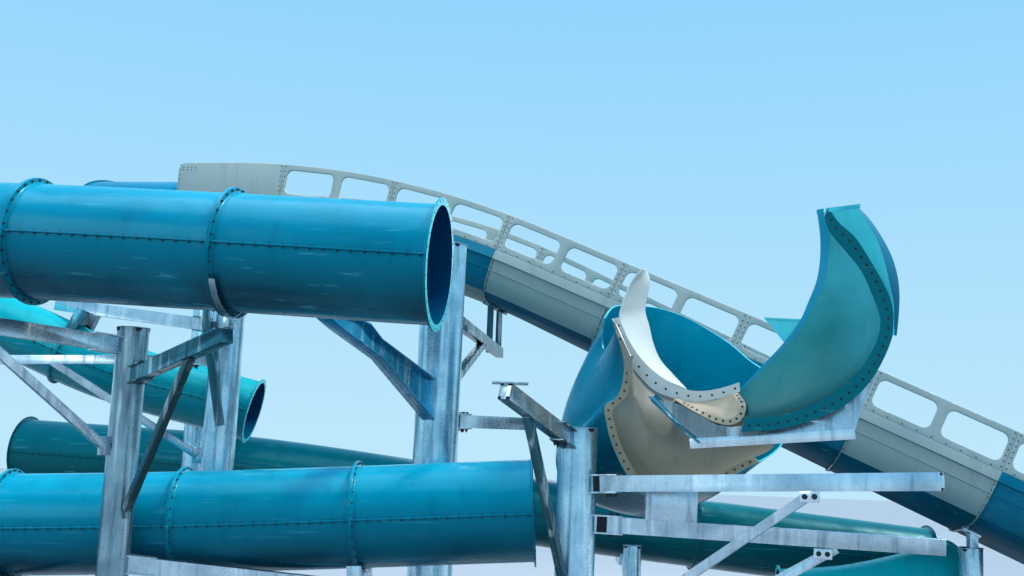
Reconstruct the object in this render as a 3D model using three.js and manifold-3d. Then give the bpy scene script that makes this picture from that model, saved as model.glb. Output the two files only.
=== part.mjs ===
// Water slide complex on its support columns: enclosed tube runs, a wide open raft trough with
// windowed guard rails, a banked bowl section on its cradle, and the galvanised columns and arms.
// Units are millimetres. X runs to the right along the slides, Y runs away from the front tube,
// Z is up, and the origin is the centre of the main column's foot at ground level.

import * as THREE from "three";
import { mergeVertices } from "three/addons/utils/BufferGeometryUtils.js";
import Module from "manifold-3d";

const wasm = await Module();
wasm.setup();

// Driving dimensions

const TOUCH_GAP = 0.4;
const { lerp, smoothstep, degToRad, clamp } = THREE.MathUtils;

const TUBE = { outer: 690, wall: 14, flange: 70, flangeThick: 22, sides: 20 };
const BODY_TUBE = { outer: 500, wall: 14, flange: 55, flangeThick: 20, sides: 16 };

const TROUGH = {
  halfWidth: 1500,
  wall: 18,
  bandHeight: 190,
  bandThick: 60,
  creaseDrop: 540,
  creaseHalf: 1410,
  chineDrop: 830,
  chineHalf: 1200,
  depth: 980,
  steps: 3,
  sections: 9,
};
const RAIL = {
  height: 760,
  thick: 44,
  postThick: 60,
  windowsPerPanel: 2,
  post: 190,
  topBand: 120,
  sill: 130,
  corner: 110,
};
const ARM = { width: 150, depth: 200, plate: 20 };
const BRACE = { width: 90, depth: 110 };
const HOOD = { rise: 650, wall: 18 };
const CAP = 14;
const COLUMN_SIDES = 20;
const FOOT = { size: 760, thick: 30, rib: 16, ribHeight: 260 };

// Materials, one per finish

function finish(color, roughness, metalness) {
  return new THREE.MeshStandardMaterial({ color, roughness, metalness });
}

const FINISH = {
  turquoise: finish(0x0a8fb4, 0.25, 0.0),
  teal: finish(0x0c8a94, 0.25, 0.0),
  blue: finish(0x0a6cab, 0.3, 0.0),
  cream: finish(0xd6d3c2, 0.4, 0.0),
  galvanised: finish(0xa9b8c2, 0.45, 0.8),
};

// Solid helpers: the boolean library works on welded triangle meshes without normals

function toSolid(geometry) {
  const bare = geometry.clone();
  bare.deleteAttribute("normal");
  bare.deleteAttribute("uv");
  const welded = mergeVertices(bare, 0.01);
  return new wasm.Manifold(new wasm.Mesh({
    numProp: 3,
    vertProperties: new Float32Array(welded.attributes.position.array),
    triVerts: new Uint32Array(welded.index.array),
  }));
}

function toGeometry(solid) {
  const mesh = solid.getMesh();
  const geometry = new THREE.BufferGeometry();
  geometry.setAttribute("position", new THREE.BufferAttribute(new Float32Array(mesh.vertProperties), 3));
  geometry.setIndex(new THREE.BufferAttribute(new Uint32Array(mesh.triVerts), 1));
  geometry.computeVertexNormals();
  return geometry;
}

function fuse(geometries) {
  const solids = geometries.map(toSolid);
  return toGeometry(solids.reduce((whole, piece) => whole.add(piece)));
}

function tidy(geometry) {
  return toGeometry(toSolid(geometry));
}

const root = new THREE.Group();

function addPiece(name, geometry, material) {
  const mesh = new THREE.Mesh(geometry, material);
  mesh.name = name;
  root.add(mesh);
  return mesh;
}

// Straight steelwork

const vec = (x, y, z) => new THREE.Vector3(x, y, z);

function bar(from, to, width, depth) {
  const along = to.clone().sub(from);
  const length = along.length();
  along.normalize();
  const side = new THREE.Vector3(0, 0, 1).cross(along).normalize();
  const up = along.clone().cross(side);
  const middle = from.clone().add(to).multiplyScalar(0.5);
  const geometry = new THREE.BoxGeometry(length, width, depth);
  geometry.applyMatrix4(new THREE.Matrix4().makeBasis(along, side, up).setPosition(middle));
  return geometry;
}

function block(centre, sizeX, sizeY, sizeZ, yaw = 0) {
  const geometry = new THREE.BoxGeometry(sizeX, sizeY, sizeZ);
  geometry.rotateZ(yaw);
  geometry.translate(centre.x, centre.y, centre.z);
  return geometry;
}

function disc(x, y, bottom, top, radius) {
  const geometry = new THREE.CylinderGeometry(radius, radius, top - bottom, COLUMN_SIDES);
  geometry.rotateX(Math.PI / 2);
  geometry.translate(x, y, (bottom + top) / 2);
  return geometry;
}

// Tracks: a run sampled at even stations, so that all that follows it meets face to face

function smoothRun(points) {
  const run = new THREE.CatmullRomCurve3(points, false, "centripetal");
  run.arcLengthDivisions = 400;
  return run;
}

function crestRun(start, corner, end, reach) {
  const before = corner.clone().add(start.clone().sub(corner).setLength(reach));
  const after = corner.clone().add(end.clone().sub(corner).setLength(reach));
  const run = new THREE.CurvePath();
  run.add(new THREE.LineCurve3(start, before));
  run.add(new THREE.QuadraticBezierCurve3(before, corner, after));
  run.add(new THREE.LineCurve3(after, end));
  run.arcLengthDivisions = 400;
  return run;
}

class Track {
  constructor(run, sections, stationsPerSection, bankAt = () => 0) {
    this.sections = sections;
    this.length = run.getLength();
    this.sectionLength = this.length / sections;
    this.stations = sections * stationsPerSection;
    this.frames = [];
    for (let i = 0; i <= this.stations; i += 1) {
      const share = i / this.stations;
      const tangent = run.getTangentAt(share);
      const left = vec(0, 0, 1).cross(tangent).normalize();
      const up = tangent.clone().cross(left);
      left.applyAxisAngle(tangent, bankAt(share));
      up.applyAxisAngle(tangent, bankAt(share));
      this.frames.push({ origin: run.getPointAt(share), tangent, left, up });
    }
  }

  frameAt(distance) {
    const place = (distance / this.length) * this.stations;
    const index = clamp(Math.floor(place + 1e-9), 0, this.stations - 1);
    const share = place - index;
    const [near, far] = [this.frames[index], this.frames[index + 1]];
    const blend = (key) => near[key].clone().lerp(far[key], share);
    return { origin: blend("origin"), tangent: blend("tangent"), left: blend("left"), up: blend("up") };
  }

  pointAt(distance, across, height) {
    const { origin, left, up } = this.frameAt(distance);
    return origin.addScaledVector(left, across).addScaledVector(up, height);
  }

  bend(geometry, start) {
    const position = geometry.attributes.position;
    for (let i = 0; i < position.count; i += 1) {
      const point = this.pointAt(start + position.getZ(i), position.getX(i), position.getY(i));
      position.setXYZ(i, point.x, point.y, point.z);
    }
    return geometry;
  }
}

// Enclosed tube sections: one closed profile turned about the run, with a bolting flange at each end

function tubeProfile(size, length, rings) {
  const inner = size.outer - size.wall;
  const rim = size.outer + size.flange;
  const points = [];
  const add = (radius, along) => points.push(new THREE.Vector2(radius, along));
  add(inner, 0);
  add(rim, 0);
  add(rim, size.flangeThick);
  add(size.outer, size.flangeThick);
  for (let i = 1; i < rings; i += 1) add(size.outer, (length * i) / rings);
  add(size.outer, length - size.flangeThick);
  add(rim, length - size.flangeThick);
  add(rim, length);
  for (let i = rings; i >= 0; i -= 1) add(inner, (length * i) / rings);
  return points;
}

function tubeSection(size, track, index, rings) {
  const length = track.sectionLength - TOUCH_GAP;
  const geometry = new THREE.LatheGeometry(tubeProfile(size, length, rings), size.sides);
  geometry.rotateX(Math.PI / 2);
  return tidy(track.bend(geometry, index * track.sectionLength + TOUCH_GAP / 2));
}

function addTubeRun(prefix, size, track, rings, material) {
  for (let i = 0; i < track.sections; i += 1) {
    addPiece(`${prefix}_${i + 1}`, tubeSection(size, track, i, rings), material);
  }
}

// A cradle that hugs a tube from below, or from above as a hanger, square to the run

function tubeCradle(size, track, distance, options) {
  const { width, drop, onFlange = true, above = false, reach = 3 } = options;
  const step = (2 * Math.PI) / size.sides;
  const hugged = size.outer + (onFlange ? size.flange : 0);
  const seat = hugged + TOUCH_GAP / Math.cos(step / 2);
  const half = seat * Math.sin(reach * step);
  const way = above ? -1 : 1;
  const shape = new THREE.Shape();
  shape.moveTo(-half, -drop * way);
  for (let i = -reach; i <= reach; i += 1) {
    shape.lineTo(seat * Math.sin(i * step), -seat * Math.cos(i * step) * way);
  }
  shape.lineTo(half, -drop * way);
  shape.closePath();
  const geometry = new THREE.ExtrudeGeometry(shape, { depth: width, steps: 2, bevelEnabled: false });
  return track.bend(geometry, distance - width / 2);
}

// Open trough: outside line from rim to rim, then back along the inside

function troughShape() {
  const t = TROUGH;
  const outside = [
    [t.halfWidth + t.bandThick, 0],
    [t.halfWidth + t.bandThick, -t.bandHeight],
    [t.halfWidth, -t.bandHeight],
    [t.creaseHalf, -t.creaseDrop],
    [t.chineHalf, -t.chineDrop],
    [t.chineHalf * 0.5, -t.depth],
  ];
  const inside = [
    [t.halfWidth - t.wall, 0],
    [t.creaseHalf - t.wall, -t.creaseDrop + t.wall * 0.2],
    [t.chineHalf - t.wall * 0.8, -t.chineDrop + t.wall * 0.6],
    [t.chineHalf * 0.5, -t.depth + t.wall],
  ];
  const mirrored = (points) => points.map(([x, y]) => [-x, y]).reverse();
  const outline = [...outside, ...mirrored(outside), ...mirrored(inside).reverse(), ...inside.slice().reverse()];
  return new THREE.Shape(outline.map(([x, y]) => new THREE.Vector2(x, y)));
}

function troughSection(track, index) {
  const length = track.sectionLength - TOUCH_GAP;
  const geometry = new THREE.ExtrudeGeometry(troughShape(), {
    depth: length,
    steps: TROUGH.steps,
    bevelEnabled: false,
  });
  return tidy(track.bend(geometry, index * track.sectionLength + TOUCH_GAP / 2));
}

// Guard rail panels: a sill and a top band on the rim, with flared posts between rounded windows

function railStrip(start, end, bottom, top) {
  const steps = Math.max(1, Math.round((end - start) / TRACK.trough.sectionLength * TROUGH.steps));
  const geometry = new THREE.BoxGeometry(RAIL.thick, top - bottom, end - start, 1, 1, steps);
  geometry.translate(0, (bottom + top) / 2, (start + end) / 2);
  return geometry;
}

function railPost(place, before, after) {
  const [bottom, top] = [RAIL.sill, RAIL.height - RAIL.topBand];
  const half = RAIL.post / 2;
  const flare = RAIL.corner;
  const lap = 8;
  const left = before ? -half : 0;
  const right = after ? half : 0;
  const shape = new THREE.Shape();
  shape.moveTo(left - (before ? flare : 0), bottom - lap);
  shape.lineTo(right + (after ? flare : 0), bottom - lap);
  if (after) shape.absarc(half + flare, bottom + flare, flare, 1.5 * Math.PI, Math.PI, true);
  else shape.lineTo(right, bottom);
  if (after) shape.absarc(half + flare, top - flare, flare, Math.PI, Math.PI / 2, true);
  shape.lineTo(right + (after ? flare : 0), top + lap);
  shape.lineTo(left - (before ? flare : 0), top + lap);
  if (before) shape.absarc(-half - flare, top - flare, flare, Math.PI / 2, 0, true);
  if (before) shape.absarc(-half - flare, bottom + flare, flare, 0, -Math.PI / 2, true);
  shape.closePath();
  const geometry = new THREE.ExtrudeGeometry(shape, { depth: RAIL.postThick, bevelEnabled: false, curveSegments: 1 });
  geometry.rotateY(-Math.PI / 2);
  geometry.translate(RAIL.postThick / 2, 0, place);
  return geometry;
}

function guardRail(track, first, count, side, solidBays) {
  const length = track.sectionLength * count - TOUCH_GAP;
  const bays = count * RAIL.windowsPerPanel;
  const pitch = length / bays;
  const parts = [
    railStrip(0, length, 0, RAIL.sill),
    railStrip(0, length, RAIL.height - RAIL.topBand, RAIL.height),
  ];
  if (solidBays > 0) {
    parts.push(railStrip(0, pitch * solidBays, RAIL.sill - 8, RAIL.height - RAIL.topBand + 8));
  }
  for (let i = solidBays; i <= bays; i += 1) parts.push(railPost(pitch * i, i > solidBays, i < bays));
  const across = side * (TROUGH.halfWidth + TROUGH.bandThick / 2);
  const start = first * track.sectionLength + TOUCH_GAP / 2;
  return fuse(parts.map((part) => track.bend(part.translate(across, TOUCH_GAP, 0), start)));
}

// A pad under the flat bottom of the trough, square to its run

function troughPad(track, distance, across, width, length, height) {
  const geometry = new THREE.BoxGeometry(width, height, length, 1, 1, 2);
  geometry.translate(across, -TROUGH.depth - 2 * TOUCH_GAP - height / 2, 0);
  return track.bend(geometry, distance);
}

// Moulded shells: a plate of even thickness laid over a surface given as a function of two shares.
// A grown shell is the same plate a touching gap larger all round, for trimming its neighbours.

function evenShares(steps, overrun) {
  const inner = Array.from({ length: steps + 1 }, (_, i) => i / steps);
  return overrun > 0 ? [-overrun, ...inner, 1 + overrun] : inner;
}

function shell(surface, stepsAcross, stepsAlong, thickness, grow = 0) {
  const acrossShares = evenShares(stepsAcross, grow / 1500);
  const alongShares = evenShares(stepsAlong, grow / 1500);
  const [across, along] = [acrossShares.length - 1, alongShares.length - 1];
  const geometry = new THREE.BoxGeometry(1, 1, 1, across, along, 1);
  const position = geometry.attributes.position;
  const delta = 1e-3;
  for (let i = 0; i < position.count; i += 1) {
    const u = acrossShares[Math.round((position.getX(i) + 0.5) * across)];
    const v = alongShares[Math.round((position.getY(i) + 0.5) * along)];
    const du = surface(u + delta, v).sub(surface(u - delta, v));
    const dv = surface(u, v + delta).sub(surface(u, v - delta));
    const normal = du.cross(dv).normalize();
    const point = surface(u, v).addScaledVector(normal, position.getZ(i) * (thickness + 2 * grow));
    position.setXYZ(i, point.x, point.y, point.z);
  }
  return geometry;
}

function largestPart(solid) {
  const parts = solid.decompose();
  return parts.reduce((best, part) => (part.volume() > best.volume() ? part : best));
}

function sumOf(geometries) {
  return geometries.map(toSolid).reduce((whole, piece) => whole.add(piece));
}

function trimmed(geometries, neighbours) {
  return toGeometry(largestPart(sumOf(geometries).subtract(sumOf(neighbours))));
}

// Columns: round pipe, square base plate with ribs, and a cap plate

function columnParts(column) {
  const { x, y, height, radius } = column;
  const plate = Math.max(FOOT.size, radius * 3.2);
  const parts = [
    disc(x, y, FOOT.thick / 2, height - CAP / 2, radius),
    block(vec(x, y, FOOT.thick / 2), plate, plate, FOOT.thick),
    disc(x, y, height - CAP, height, radius + CAP),
  ];
  for (let i = 0; i < 4; i += 1) {
    const angle = (i * Math.PI) / 2;
    const reach = plate / 2 - 40;
    const middle = vec(x + (Math.cos(angle) * reach) / 2, y + (Math.sin(angle) * reach) / 2, FOOT.ribHeight / 2);
    parts.push(block(middle, reach, FOOT.rib, FOOT.ribHeight, angle));
  }
  return parts;
}

function addColumn(name, column, welded = []) {
  addPiece(name, fuse([...columnParts(column), ...welded]), FINISH.galvanised);
}

// Arms: box section gripped between two shelf plates, clear of the column's round face

function armParts(column, rootHeight, end, size = ARM, shelf = 340) {
  const axis = vec(column.x, column.y, rootHeight);
  const along = end.clone().sub(axis).normalize();
  const shelfEnd = axis.clone().addScaledVector(along, column.radius + shelf);
  const lift = size.depth / 2 + size.plate / 2 - 2;
  const parts = [bar(axis, end, size.width, size.depth)];
  for (const side of [1, -1]) {
    const offset = vec(0, 0, side * lift);
    parts.push(bar(axis.clone().add(offset), shelfEnd.clone().add(offset), size.width + 60, size.plate));
  }
  return parts;
}

function braceParts(column, height, end, size = BRACE) {
  const axis = vec(column.x, column.y, height);
  const outward = end.clone().sub(axis).setZ(0).normalize();
  const face = axis.clone().addScaledVector(outward, column.radius);
  const lug = face.clone().addScaledVector(outward, 130);
  return [bar(axis, lug, 24, 240), bar(lug.clone().addScaledVector(outward, -60), end, size.width, size.depth)];
}

// What grips a column is cut back to clear its round face by the touching gap

function addGripped(name, column, parts) {
  const radius = column.radius + TOUCH_GAP / Math.cos(Math.PI / COLUMN_SIDES);
  const sleeve = disc(column.x, column.y, -100, column.height + 500, radius);
  addPiece(name, trimmed(parts, [sleeve]), FINISH.galvanised);
}

// Layout: where the columns stand and how the runs pass them

const COLUMN = {
  main: { x: 0, y: 0, height: 7550, radius: 335 },
  left: { x: -3950, y: -2050, height: 5900, radius: 203 },
  middle: { x: -3450, y: 700, height: 6500, radius: 254 },
  front: { x: 1980, y: -2300, height: 4800, radius: 254 },
  rear: { x: -5250, y: 5600, height: 8750, radius: 254 },
  right: { x: 9450, y: 3250, height: 3000, radius: 203 },
  small: { x: 3620, y: 5200, height: 2650, radius: 180 },
  end: { x: 8300, y: 6440, height: 1780, radius: 180 },
};

const TRACK = {
  upper: new Track(smoothRun([vec(-7050, -3310, 6800), vec(-4420, -3650, 6730), vec(240, -4260, 6530)]), 3, 1),
  lower: new Track(smoothRun([vec(-8200, -1060, 3090), vec(-3320, -1090, 3320), vec(1480, -1240, 3660)]), 4, 1),
  rear: new Track(smoothRun([
    vec(-9600, 7650, 3980),
    vec(-4500, 7160, 3780),
    vec(1900, 6350, 3130),
    vec(9900, 6450, 2400),
  ]), 4, 2),
  body: new Track(smoothRun([
    vec(-9400, 1900, 6900),
    vec(-7160, 1620, 6110),
    vec(-5630, 1650, 5520),
    vec(-3180, 1740, 4930),
  ]), 2, 3),
  exit: new Track(smoothRun([vec(6300, 4150, 1720), vec(7500, 4000, 1850), vec(9600, 4300, 2300)]), 1, 2),
  trough: new Track(
    crestRun(vec(-8370, 8580, 9680), vec(-1320, 6700, 9460), vec(12060, 3110, 3150), 3500),
    TROUGH.sections,
    TROUGH.steps,
    (share) => -degToRad(8) * smoothstep(share, 0.3, 0.85),
  ),
};

function jointPlace(track, joint) {
  return track.frameAt(track.sectionLength * joint).origin;
}

// The distance along a track at which a line beside it passes a given X, found by halving

function distanceAtX(track, x, across = 0, height = 0) {
  let [low, high] = [0, track.length];
  for (let i = 0; i < 40; i += 1) {
    const middle = (low + high) / 2;
    if (track.pointAt(middle, across, height).x < x) low = middle;
    else high = middle;
  }
  return (low + high) / 2;
}

// Enclosed tubes

addTubeRun("upper_tube", TUBE, TRACK.upper, 1, FINISH.turquoise);
addTubeRun("lower_tube", TUBE, TRACK.lower, 1, FINISH.turquoise);
addTubeRun("rear_tube", TUBE, TRACK.rear, 2, FINISH.teal);
addTubeRun("body_slide_tube", BODY_TUBE, TRACK.body, 3, FINISH.teal);
addTubeRun("exit_tube", TUBE, TRACK.exit, 2, FINISH.teal);

// Raft trough, its arched hood at the upper end, and its guard rails

const TROUGH_COLOURS = ["blue", "blue", "cream", "blue", "cream", "cream", "blue", "cream", "blue"];
TROUGH_COLOURS.forEach((colour, i) => {
  addPiece(`trough_section_${i + 1}`, troughSection(TRACK.trough, i), FINISH[colour]);
});
const RAIL_RUNS = [{ first: 1, count: 3 }, { first: 4, count: 3 }, { first: 7, count: 2 }];
RAIL_RUNS.forEach(({ first, count }, i) => {
  const solidBays = i === 0 ? RAIL.windowsPerPanel : 0;
  addPiece(`near_guard_rail_${i + 1}`, guardRail(TRACK.trough, first, count, -1, solidBays), FINISH.cream);
  addPiece(`far_guard_rail_${i + 1}`, guardRail(TRACK.trough, first, count, 1, solidBays), FINISH.cream);
});

function hoodGeometry(track) {
  const outer = TROUGH.halfWidth + TROUGH.bandThick;
  const steps = 12;
  const arch = (half, rise, i) => {
    const angle = (Math.PI * i) / steps;
    return new THREE.Vector2(half * Math.cos(angle), TOUCH_GAP + rise * Math.sin(angle));
  };
  const outline = [];
  for (let i = 0; i <= steps; i += 1) outline.push(arch(outer, HOOD.rise, i));
  for (let i = steps; i >= 0; i -= 1) outline.push(arch(outer - HOOD.wall * 2, HOOD.rise - HOOD.wall, i));
  const geometry = new THREE.ExtrudeGeometry(new THREE.Shape(outline), {
    depth: track.sectionLength - TOUCH_GAP,
    steps: TROUGH.steps,
    bevelEnabled: false,
  });
  return tidy(track.bend(geometry, TOUCH_GAP / 2));
}

addPiece("trough_hood", hoodGeometry(TRACK.trough), FINISH.blue);

// Columns

addColumn("main_column", COLUMN.main);
addColumn("left_column", COLUMN.left);
addColumn("middle_column", COLUMN.middle);
addColumn("front_column", COLUMN.front);

// Arms on the left column: the upper tube's cradle at a joint, its outer cradle, and the low tube's two

const FLANGED = TUBE.outer + TUBE.flange;

function cradleArm(column, rootHeight, track, size, distance, options) {
  const { drop } = options;
  const place = track.frameAt(distance).origin;
  const end = place.clone().add(vec(0, 0, -drop - ARM.depth / 2 + 30));
  const parts = armParts(column, rootHeight, end);
  parts.push(tubeCradle(size, track, distance, options));
  return parts;
}

{
  const drop = FLANGED + 120;
  const joint = 2 * TRACK.upper.sectionLength;
  const options = { width: 180, drop, reach: 2 };
  addGripped("left_column_tube_arm", COLUMN.left, [
    ...cradleArm(COLUMN.left, 5230, TRACK.upper, TUBE, joint, options),
    ...braceParts(COLUMN.left, 3550, vec(-2740, -3330, 5560)),
  ]);
}
{
  const drop = TUBE.outer + 230;
  const distance = distanceAtX(TRACK.upper, -5450);
  const options = { width: 180, drop, reach: 2, onFlange: false };
  addGripped("left_column_outer_arm", COLUMN.left, [
    ...cradleArm(COLUMN.left, 5640, TRACK.upper, TUBE, distance, options),
    ...braceParts(COLUMN.left, 4340, vec(-5330, -3400, 5640)),
  ]);
}
{
  const options = { width: 200, drop: FLANGED + 130, reach: 2 };
  const right = 3 * TRACK.lower.sectionLength;
  const left = TRACK.lower.sectionLength;
  addGripped("left_column_low_arm_right", COLUMN.left,
    cradleArm(COLUMN.left, 2860, TRACK.lower, TUBE, right, options));
  addGripped("left_column_low_arm_left", COLUMN.left,
    cradleArm(COLUMN.left, 2300, TRACK.lower, TUBE, left, options));
}

// Arms on the middle column: the body slide hangs from the upper one, the lower one ends free

{
  const joint = TRACK.body.sectionLength;
  const place = jointPlace(TRACK.body, 1);
  const rim = BODY_TUBE.outer + BODY_TUBE.flange;
  const hanger = tubeCradle(BODY_TUBE, TRACK.body, joint, { width: 160, drop: rim + 200, reach: 2, above: true });
  const over = vec(place.x, place.y, place.z + rim + 230);
  const axis = vec(COLUMN.middle.x, COLUMN.middle.y, 6210);
  const end = axis.clone().lerp(over, 1.1);
  addGripped("middle_column_upper_arm", COLUMN.middle, [...armParts(COLUMN.middle, 6210, end), hanger]);
  addGripped("middle_column_lower_arm", COLUMN.middle, [
    ...armParts(COLUMN.middle, 5700, vec(-7100, 620, 5560), { width: 110, depth: 140, plate: 16 }),
    ...braceParts(COLUMN.middle, 4190, vec(-6150, 650, 5560)),
  ]);
}

// Arms on the main column: a tapered haunch under the upper tube, the trough's arm, and a free arm

function haunch(column, place, rootTop, rootBottom, endDepth, width) {
  const plan = new THREE.Vector2(place.x - column.x, place.y - column.y);
  const length = plan.length();
  const shape = new THREE.Shape();
  shape.moveTo(0, rootBottom);
  shape.lineTo(length + 120, place.z - endDepth);
  shape.lineTo(length + 120, place.z);
  shape.lineTo(0, rootTop);
  shape.closePath();
  const geometry = new THREE.ExtrudeGeometry(shape, { depth: width, bevelEnabled: false });
  geometry.translate(0, 0, -width / 2);
  geometry.rotateX(Math.PI / 2);
  geometry.rotateZ(plan.angle());
  geometry.translate(column.x, column.y, 0);
  return geometry;
}

{
  const distance = distanceAtX(TRACK.upper, -1350);
  const drop = TUBE.outer + 110;
  const place = TRACK.upper.frameAt(distance).origin.add(vec(0, 0, -drop + 30));
  addGripped("main_column_tube_haunch", COLUMN.main, [
    haunch(COLUMN.main, place, 5950, 5100, 200, 210),
    tubeCradle(TUBE, TRACK.upper, distance, { width: 200, drop, reach: 2, onFlange: false }),
  ]);
}

function troughSaddle(distance, across, armTop) {
  const pad = troughPad(TRACK.trough, distance, across, 320, 300, 60);
  const top = TRACK.trough.pointAt(distance, across, -TROUGH.depth - 30);
  const stub = block(vec(top.x, top.y, (top.z + armTop) / 2), 130, 130, top.z - armTop);
  return [pad, stub];
}

{
  const joint = 4 * TRACK.trough.sectionLength;
  const end = TRACK.trough.pointAt(joint, 450, -TROUGH.depth).setZ(6450);
  addGripped("main_column_trough_arm", COLUMN.main, [
    ...armParts(COLUMN.main, 6240, end),
    ...troughSaddle(joint, -380, 6350),
    ...troughSaddle(joint, 330, 6380),
    ...braceParts(COLUMN.main, 5300, vec(300, 1500, 6200)),
  ]);
}
addGripped("main_column_free_arm", COLUMN.main, armParts(COLUMN.main, 4860, vec(1500, 1780, 4880)));

// Arms on the front column: the two beams for the banked bowl, and one that ends free

addGripped("front_column_left_arm", COLUMN.front, [
  ...armParts(COLUMN.front, 4560, vec(1020, -3860, 5160)),
  block(vec(1080, -3740, 5255), 420, 360, 20),
  ...braceParts(COLUMN.front, 2960, vec(1300, -3420, 4900)),
]);
addGripped("front_beam", COLUMN.front, [
  ...armParts(COLUMN.front, 4080, vec(5810, -4440, 4330)),
  ...braceParts(COLUMN.front, 2200, vec(4600, -3670, 4120)),
]);
addGripped("rear_beam", COLUMN.front, [
  ...armParts(COLUMN.front, 3600, vec(6600, -2490, 3470)),
  ...braceParts(COLUMN.front, 1700, vec(5260, -2430, 3400)),
]);

// Posts with their arms welded on: under the trough's upper end, the rear tube and the exit tube

{
  const distance = distanceAtX(TRACK.trough, -5050);
  const under = TRACK.trough.pointAt(distance, 300, -TROUGH.depth);
  const options = { width: 200, drop: FLANGED + 120, reach: 2 };
  addColumn("rear_column", COLUMN.rear, [
    ...armParts(COLUMN.rear, 8400, under.clone().add(vec(0, 0, -230))),
    troughPad(TRACK.trough, distance, 0, 700, 300, 180),
    ...cradleArm(COLUMN.rear, 2860, TRACK.rear, TUBE, TRACK.rear.sectionLength, options),
  ]);
}
{
  const options = { width: 200, drop: TUBE.outer + 120, reach: 2, onFlange: false };
  const post = COLUMN.right;
  const distance = distanceAtX(TRACK.trough, post.x, -480, -TROUGH.depth);
  const saddle = TRACK.trough.pointAt(distance, -480, -TROUGH.depth - 62);
  addColumn("small_post", COLUMN.small,
    cradleArm(COLUMN.small, 2050, TRACK.rear, TUBE, distanceAtX(TRACK.rear, COLUMN.small.x), options));
  addColumn("right_post", post, [
    ...cradleArm(post, 1250, TRACK.exit, TUBE, distanceAtX(TRACK.exit, 8750), options),
    troughPad(TRACK.trough, distance, -480, 220, 320, 70),
    block(vec(post.x, saddle.y, (saddle.z + post.height) / 2 - 20), 150, 150, saddle.z - post.height + 40),
  ]);
  const end = COLUMN.end;
  addColumn("end_post", end,
    [tubeCradle(TUBE, TRACK.rear, distanceAtX(TRACK.rear, end.x), { ...options, drop: TUBE.outer + 140 })]);
}

// Banked bowl: moulded shells between guide curves, seated on the rear beam. The curves near its two
// tilted rings are given as [degrees, radius, distance towards the viewer].

const BOWL = { thick: 20, yaw: degToRad(-13), pitch: degToRad(6), bulge: 230 };
const RING = {
  near: vec(4170, -3690, 6140),
  far: vec(3690, -2550, 6590),
  right: vec(Math.cos(BOWL.yaw), Math.sin(BOWL.yaw), 0),
};
RING.away = vec(0, 0, 1).cross(RING.right).applyAxisAngle(RING.right, BOWL.pitch);
RING.up = RING.right.clone().cross(RING.away);

function ringGuide(centre, stops) {
  return guide(stops.map(([degrees, radius, nearer = 0]) => {
    const angle = degToRad(degrees);
    return centre.clone().addScaledVector(RING.right, radius * Math.cos(angle))
      .addScaledVector(RING.up, radius * Math.sin(angle))
      .addScaledVector(RING.away, -nearer);
  }));
}

function guide(points) {
  return new THREE.CatmullRomCurve3(points);
}

const places = (points) => guide(points.map(([x, y, z]) => vec(x, y, z)));

// A curve halfway between two others, pushed out by a given vector at each share

function bulged(first, last, push) {
  const points = [];
  for (let i = 0; i <= 8; i += 1) {
    const share = i / 8;
    const middle = first.getPointAt(share).lerp(last.getPointAt(share), 0.5);
    points.push(middle.add(push(share, middle)));
  }
  return guide(points);
}

// A surface over guide curves: plain strips between them, and one crowned strip of several steps

function folded(strips) {
  const rows = strips.flatMap(({ curves, steps }) => Array.from({ length: steps }, (_, i) => [curves, (i + 1) / steps]));
  rows.unshift([strips[0].curves, 0]);
  const rowPoint = ([curves, share], u) => {
    const [a, m, b] = curves.map((curve) => curve.getPointAt(u));
    return b ? crown(a, m, b, share) : a.lerp(m, share);
  };
  return (u, v) => {
    const across = clamp(u, 0, 1);
    const place = v * (rows.length - 1);
    const index = clamp(Math.floor(place), 0, rows.length - 2);
    const point = rowPoint(rows[index], across).lerp(rowPoint(rows[index + 1], across), place - index);
    const edge = strips[0].curves[0];
    return point.addScaledVector(edge.getTangentAt(across), (u - across) * edge.getLength());
  };
}

function crown(a, m, b, v) {
  const control = m.clone().multiplyScalar(2).addScaledVector(a, -0.5).addScaledVector(b, -0.5);
  return a.clone().multiplyScalar((1 - v) * (1 - v))
    .addScaledVector(control, 2 * v * (1 - v))
    .addScaledVector(b, v * v);
}

const wingLip = ringGuide(RING.far, [[-76, 1284], [-60, 1119], [-39, 1066], [-20, 1109], [-4, 1173],
  [7, 1266], [17, 1354], [29, 1485], [40, 1640]]);
const wingCrease = ringGuide(RING.far, [[-76, 1320], [-60, 1160], [-39, 1115], [-20, 1180], [-3, 1271],
  [7, 1377], [17, 1467], [27, 1587], [38, 1749]]);
const wingNear = ringGuide(RING.near, [[-106, 1243], [-84, 1135], [-65, 1095], [-45, 1096], [-26, 1139],
  [-3, 1187], [19, 1125], [32, 1123], [46, 1129], [59, 1202], [65, 1330]]);
const wingRim = ringGuide(RING.near, [[-106, 1403], [-85, 1292], [-56, 1267], [-40, 1283], [-22, 1296],
  [-3, 1334], [13, 1306], [35, 1274], [47, 1312], [58, 1340], [65, 1430]]);
const flareRoot = ringGuide(RING.near, [[-8, 1329], [3, 1330], [13, 1306], [35, 1274], [47, 1312], [57, 1340]]);
const flareRidge = ringGuide(RING.near, [[-8, 1345, 10], [8, 1335, 50], [17, 1330, 110], [28, 1372, 150],
  [38, 1437, 150], [46, 1490, 150], [54, 1565, 150]]);
const flareEdge = ringGuide(RING.near, [[-8, 1365], [2, 1375], [12, 1412], [20, 1447], [29, 1484],
  [38, 1516], [47, 1560], [54, 1596]]);
const wingOut = (share, middle) => middle.clone().sub(RING.near.clone().lerp(RING.far, 0.5)).setLength(BOWL.bulge);
const wingBulge = bulged(wingCrease, wingNear, wingOut);

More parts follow.
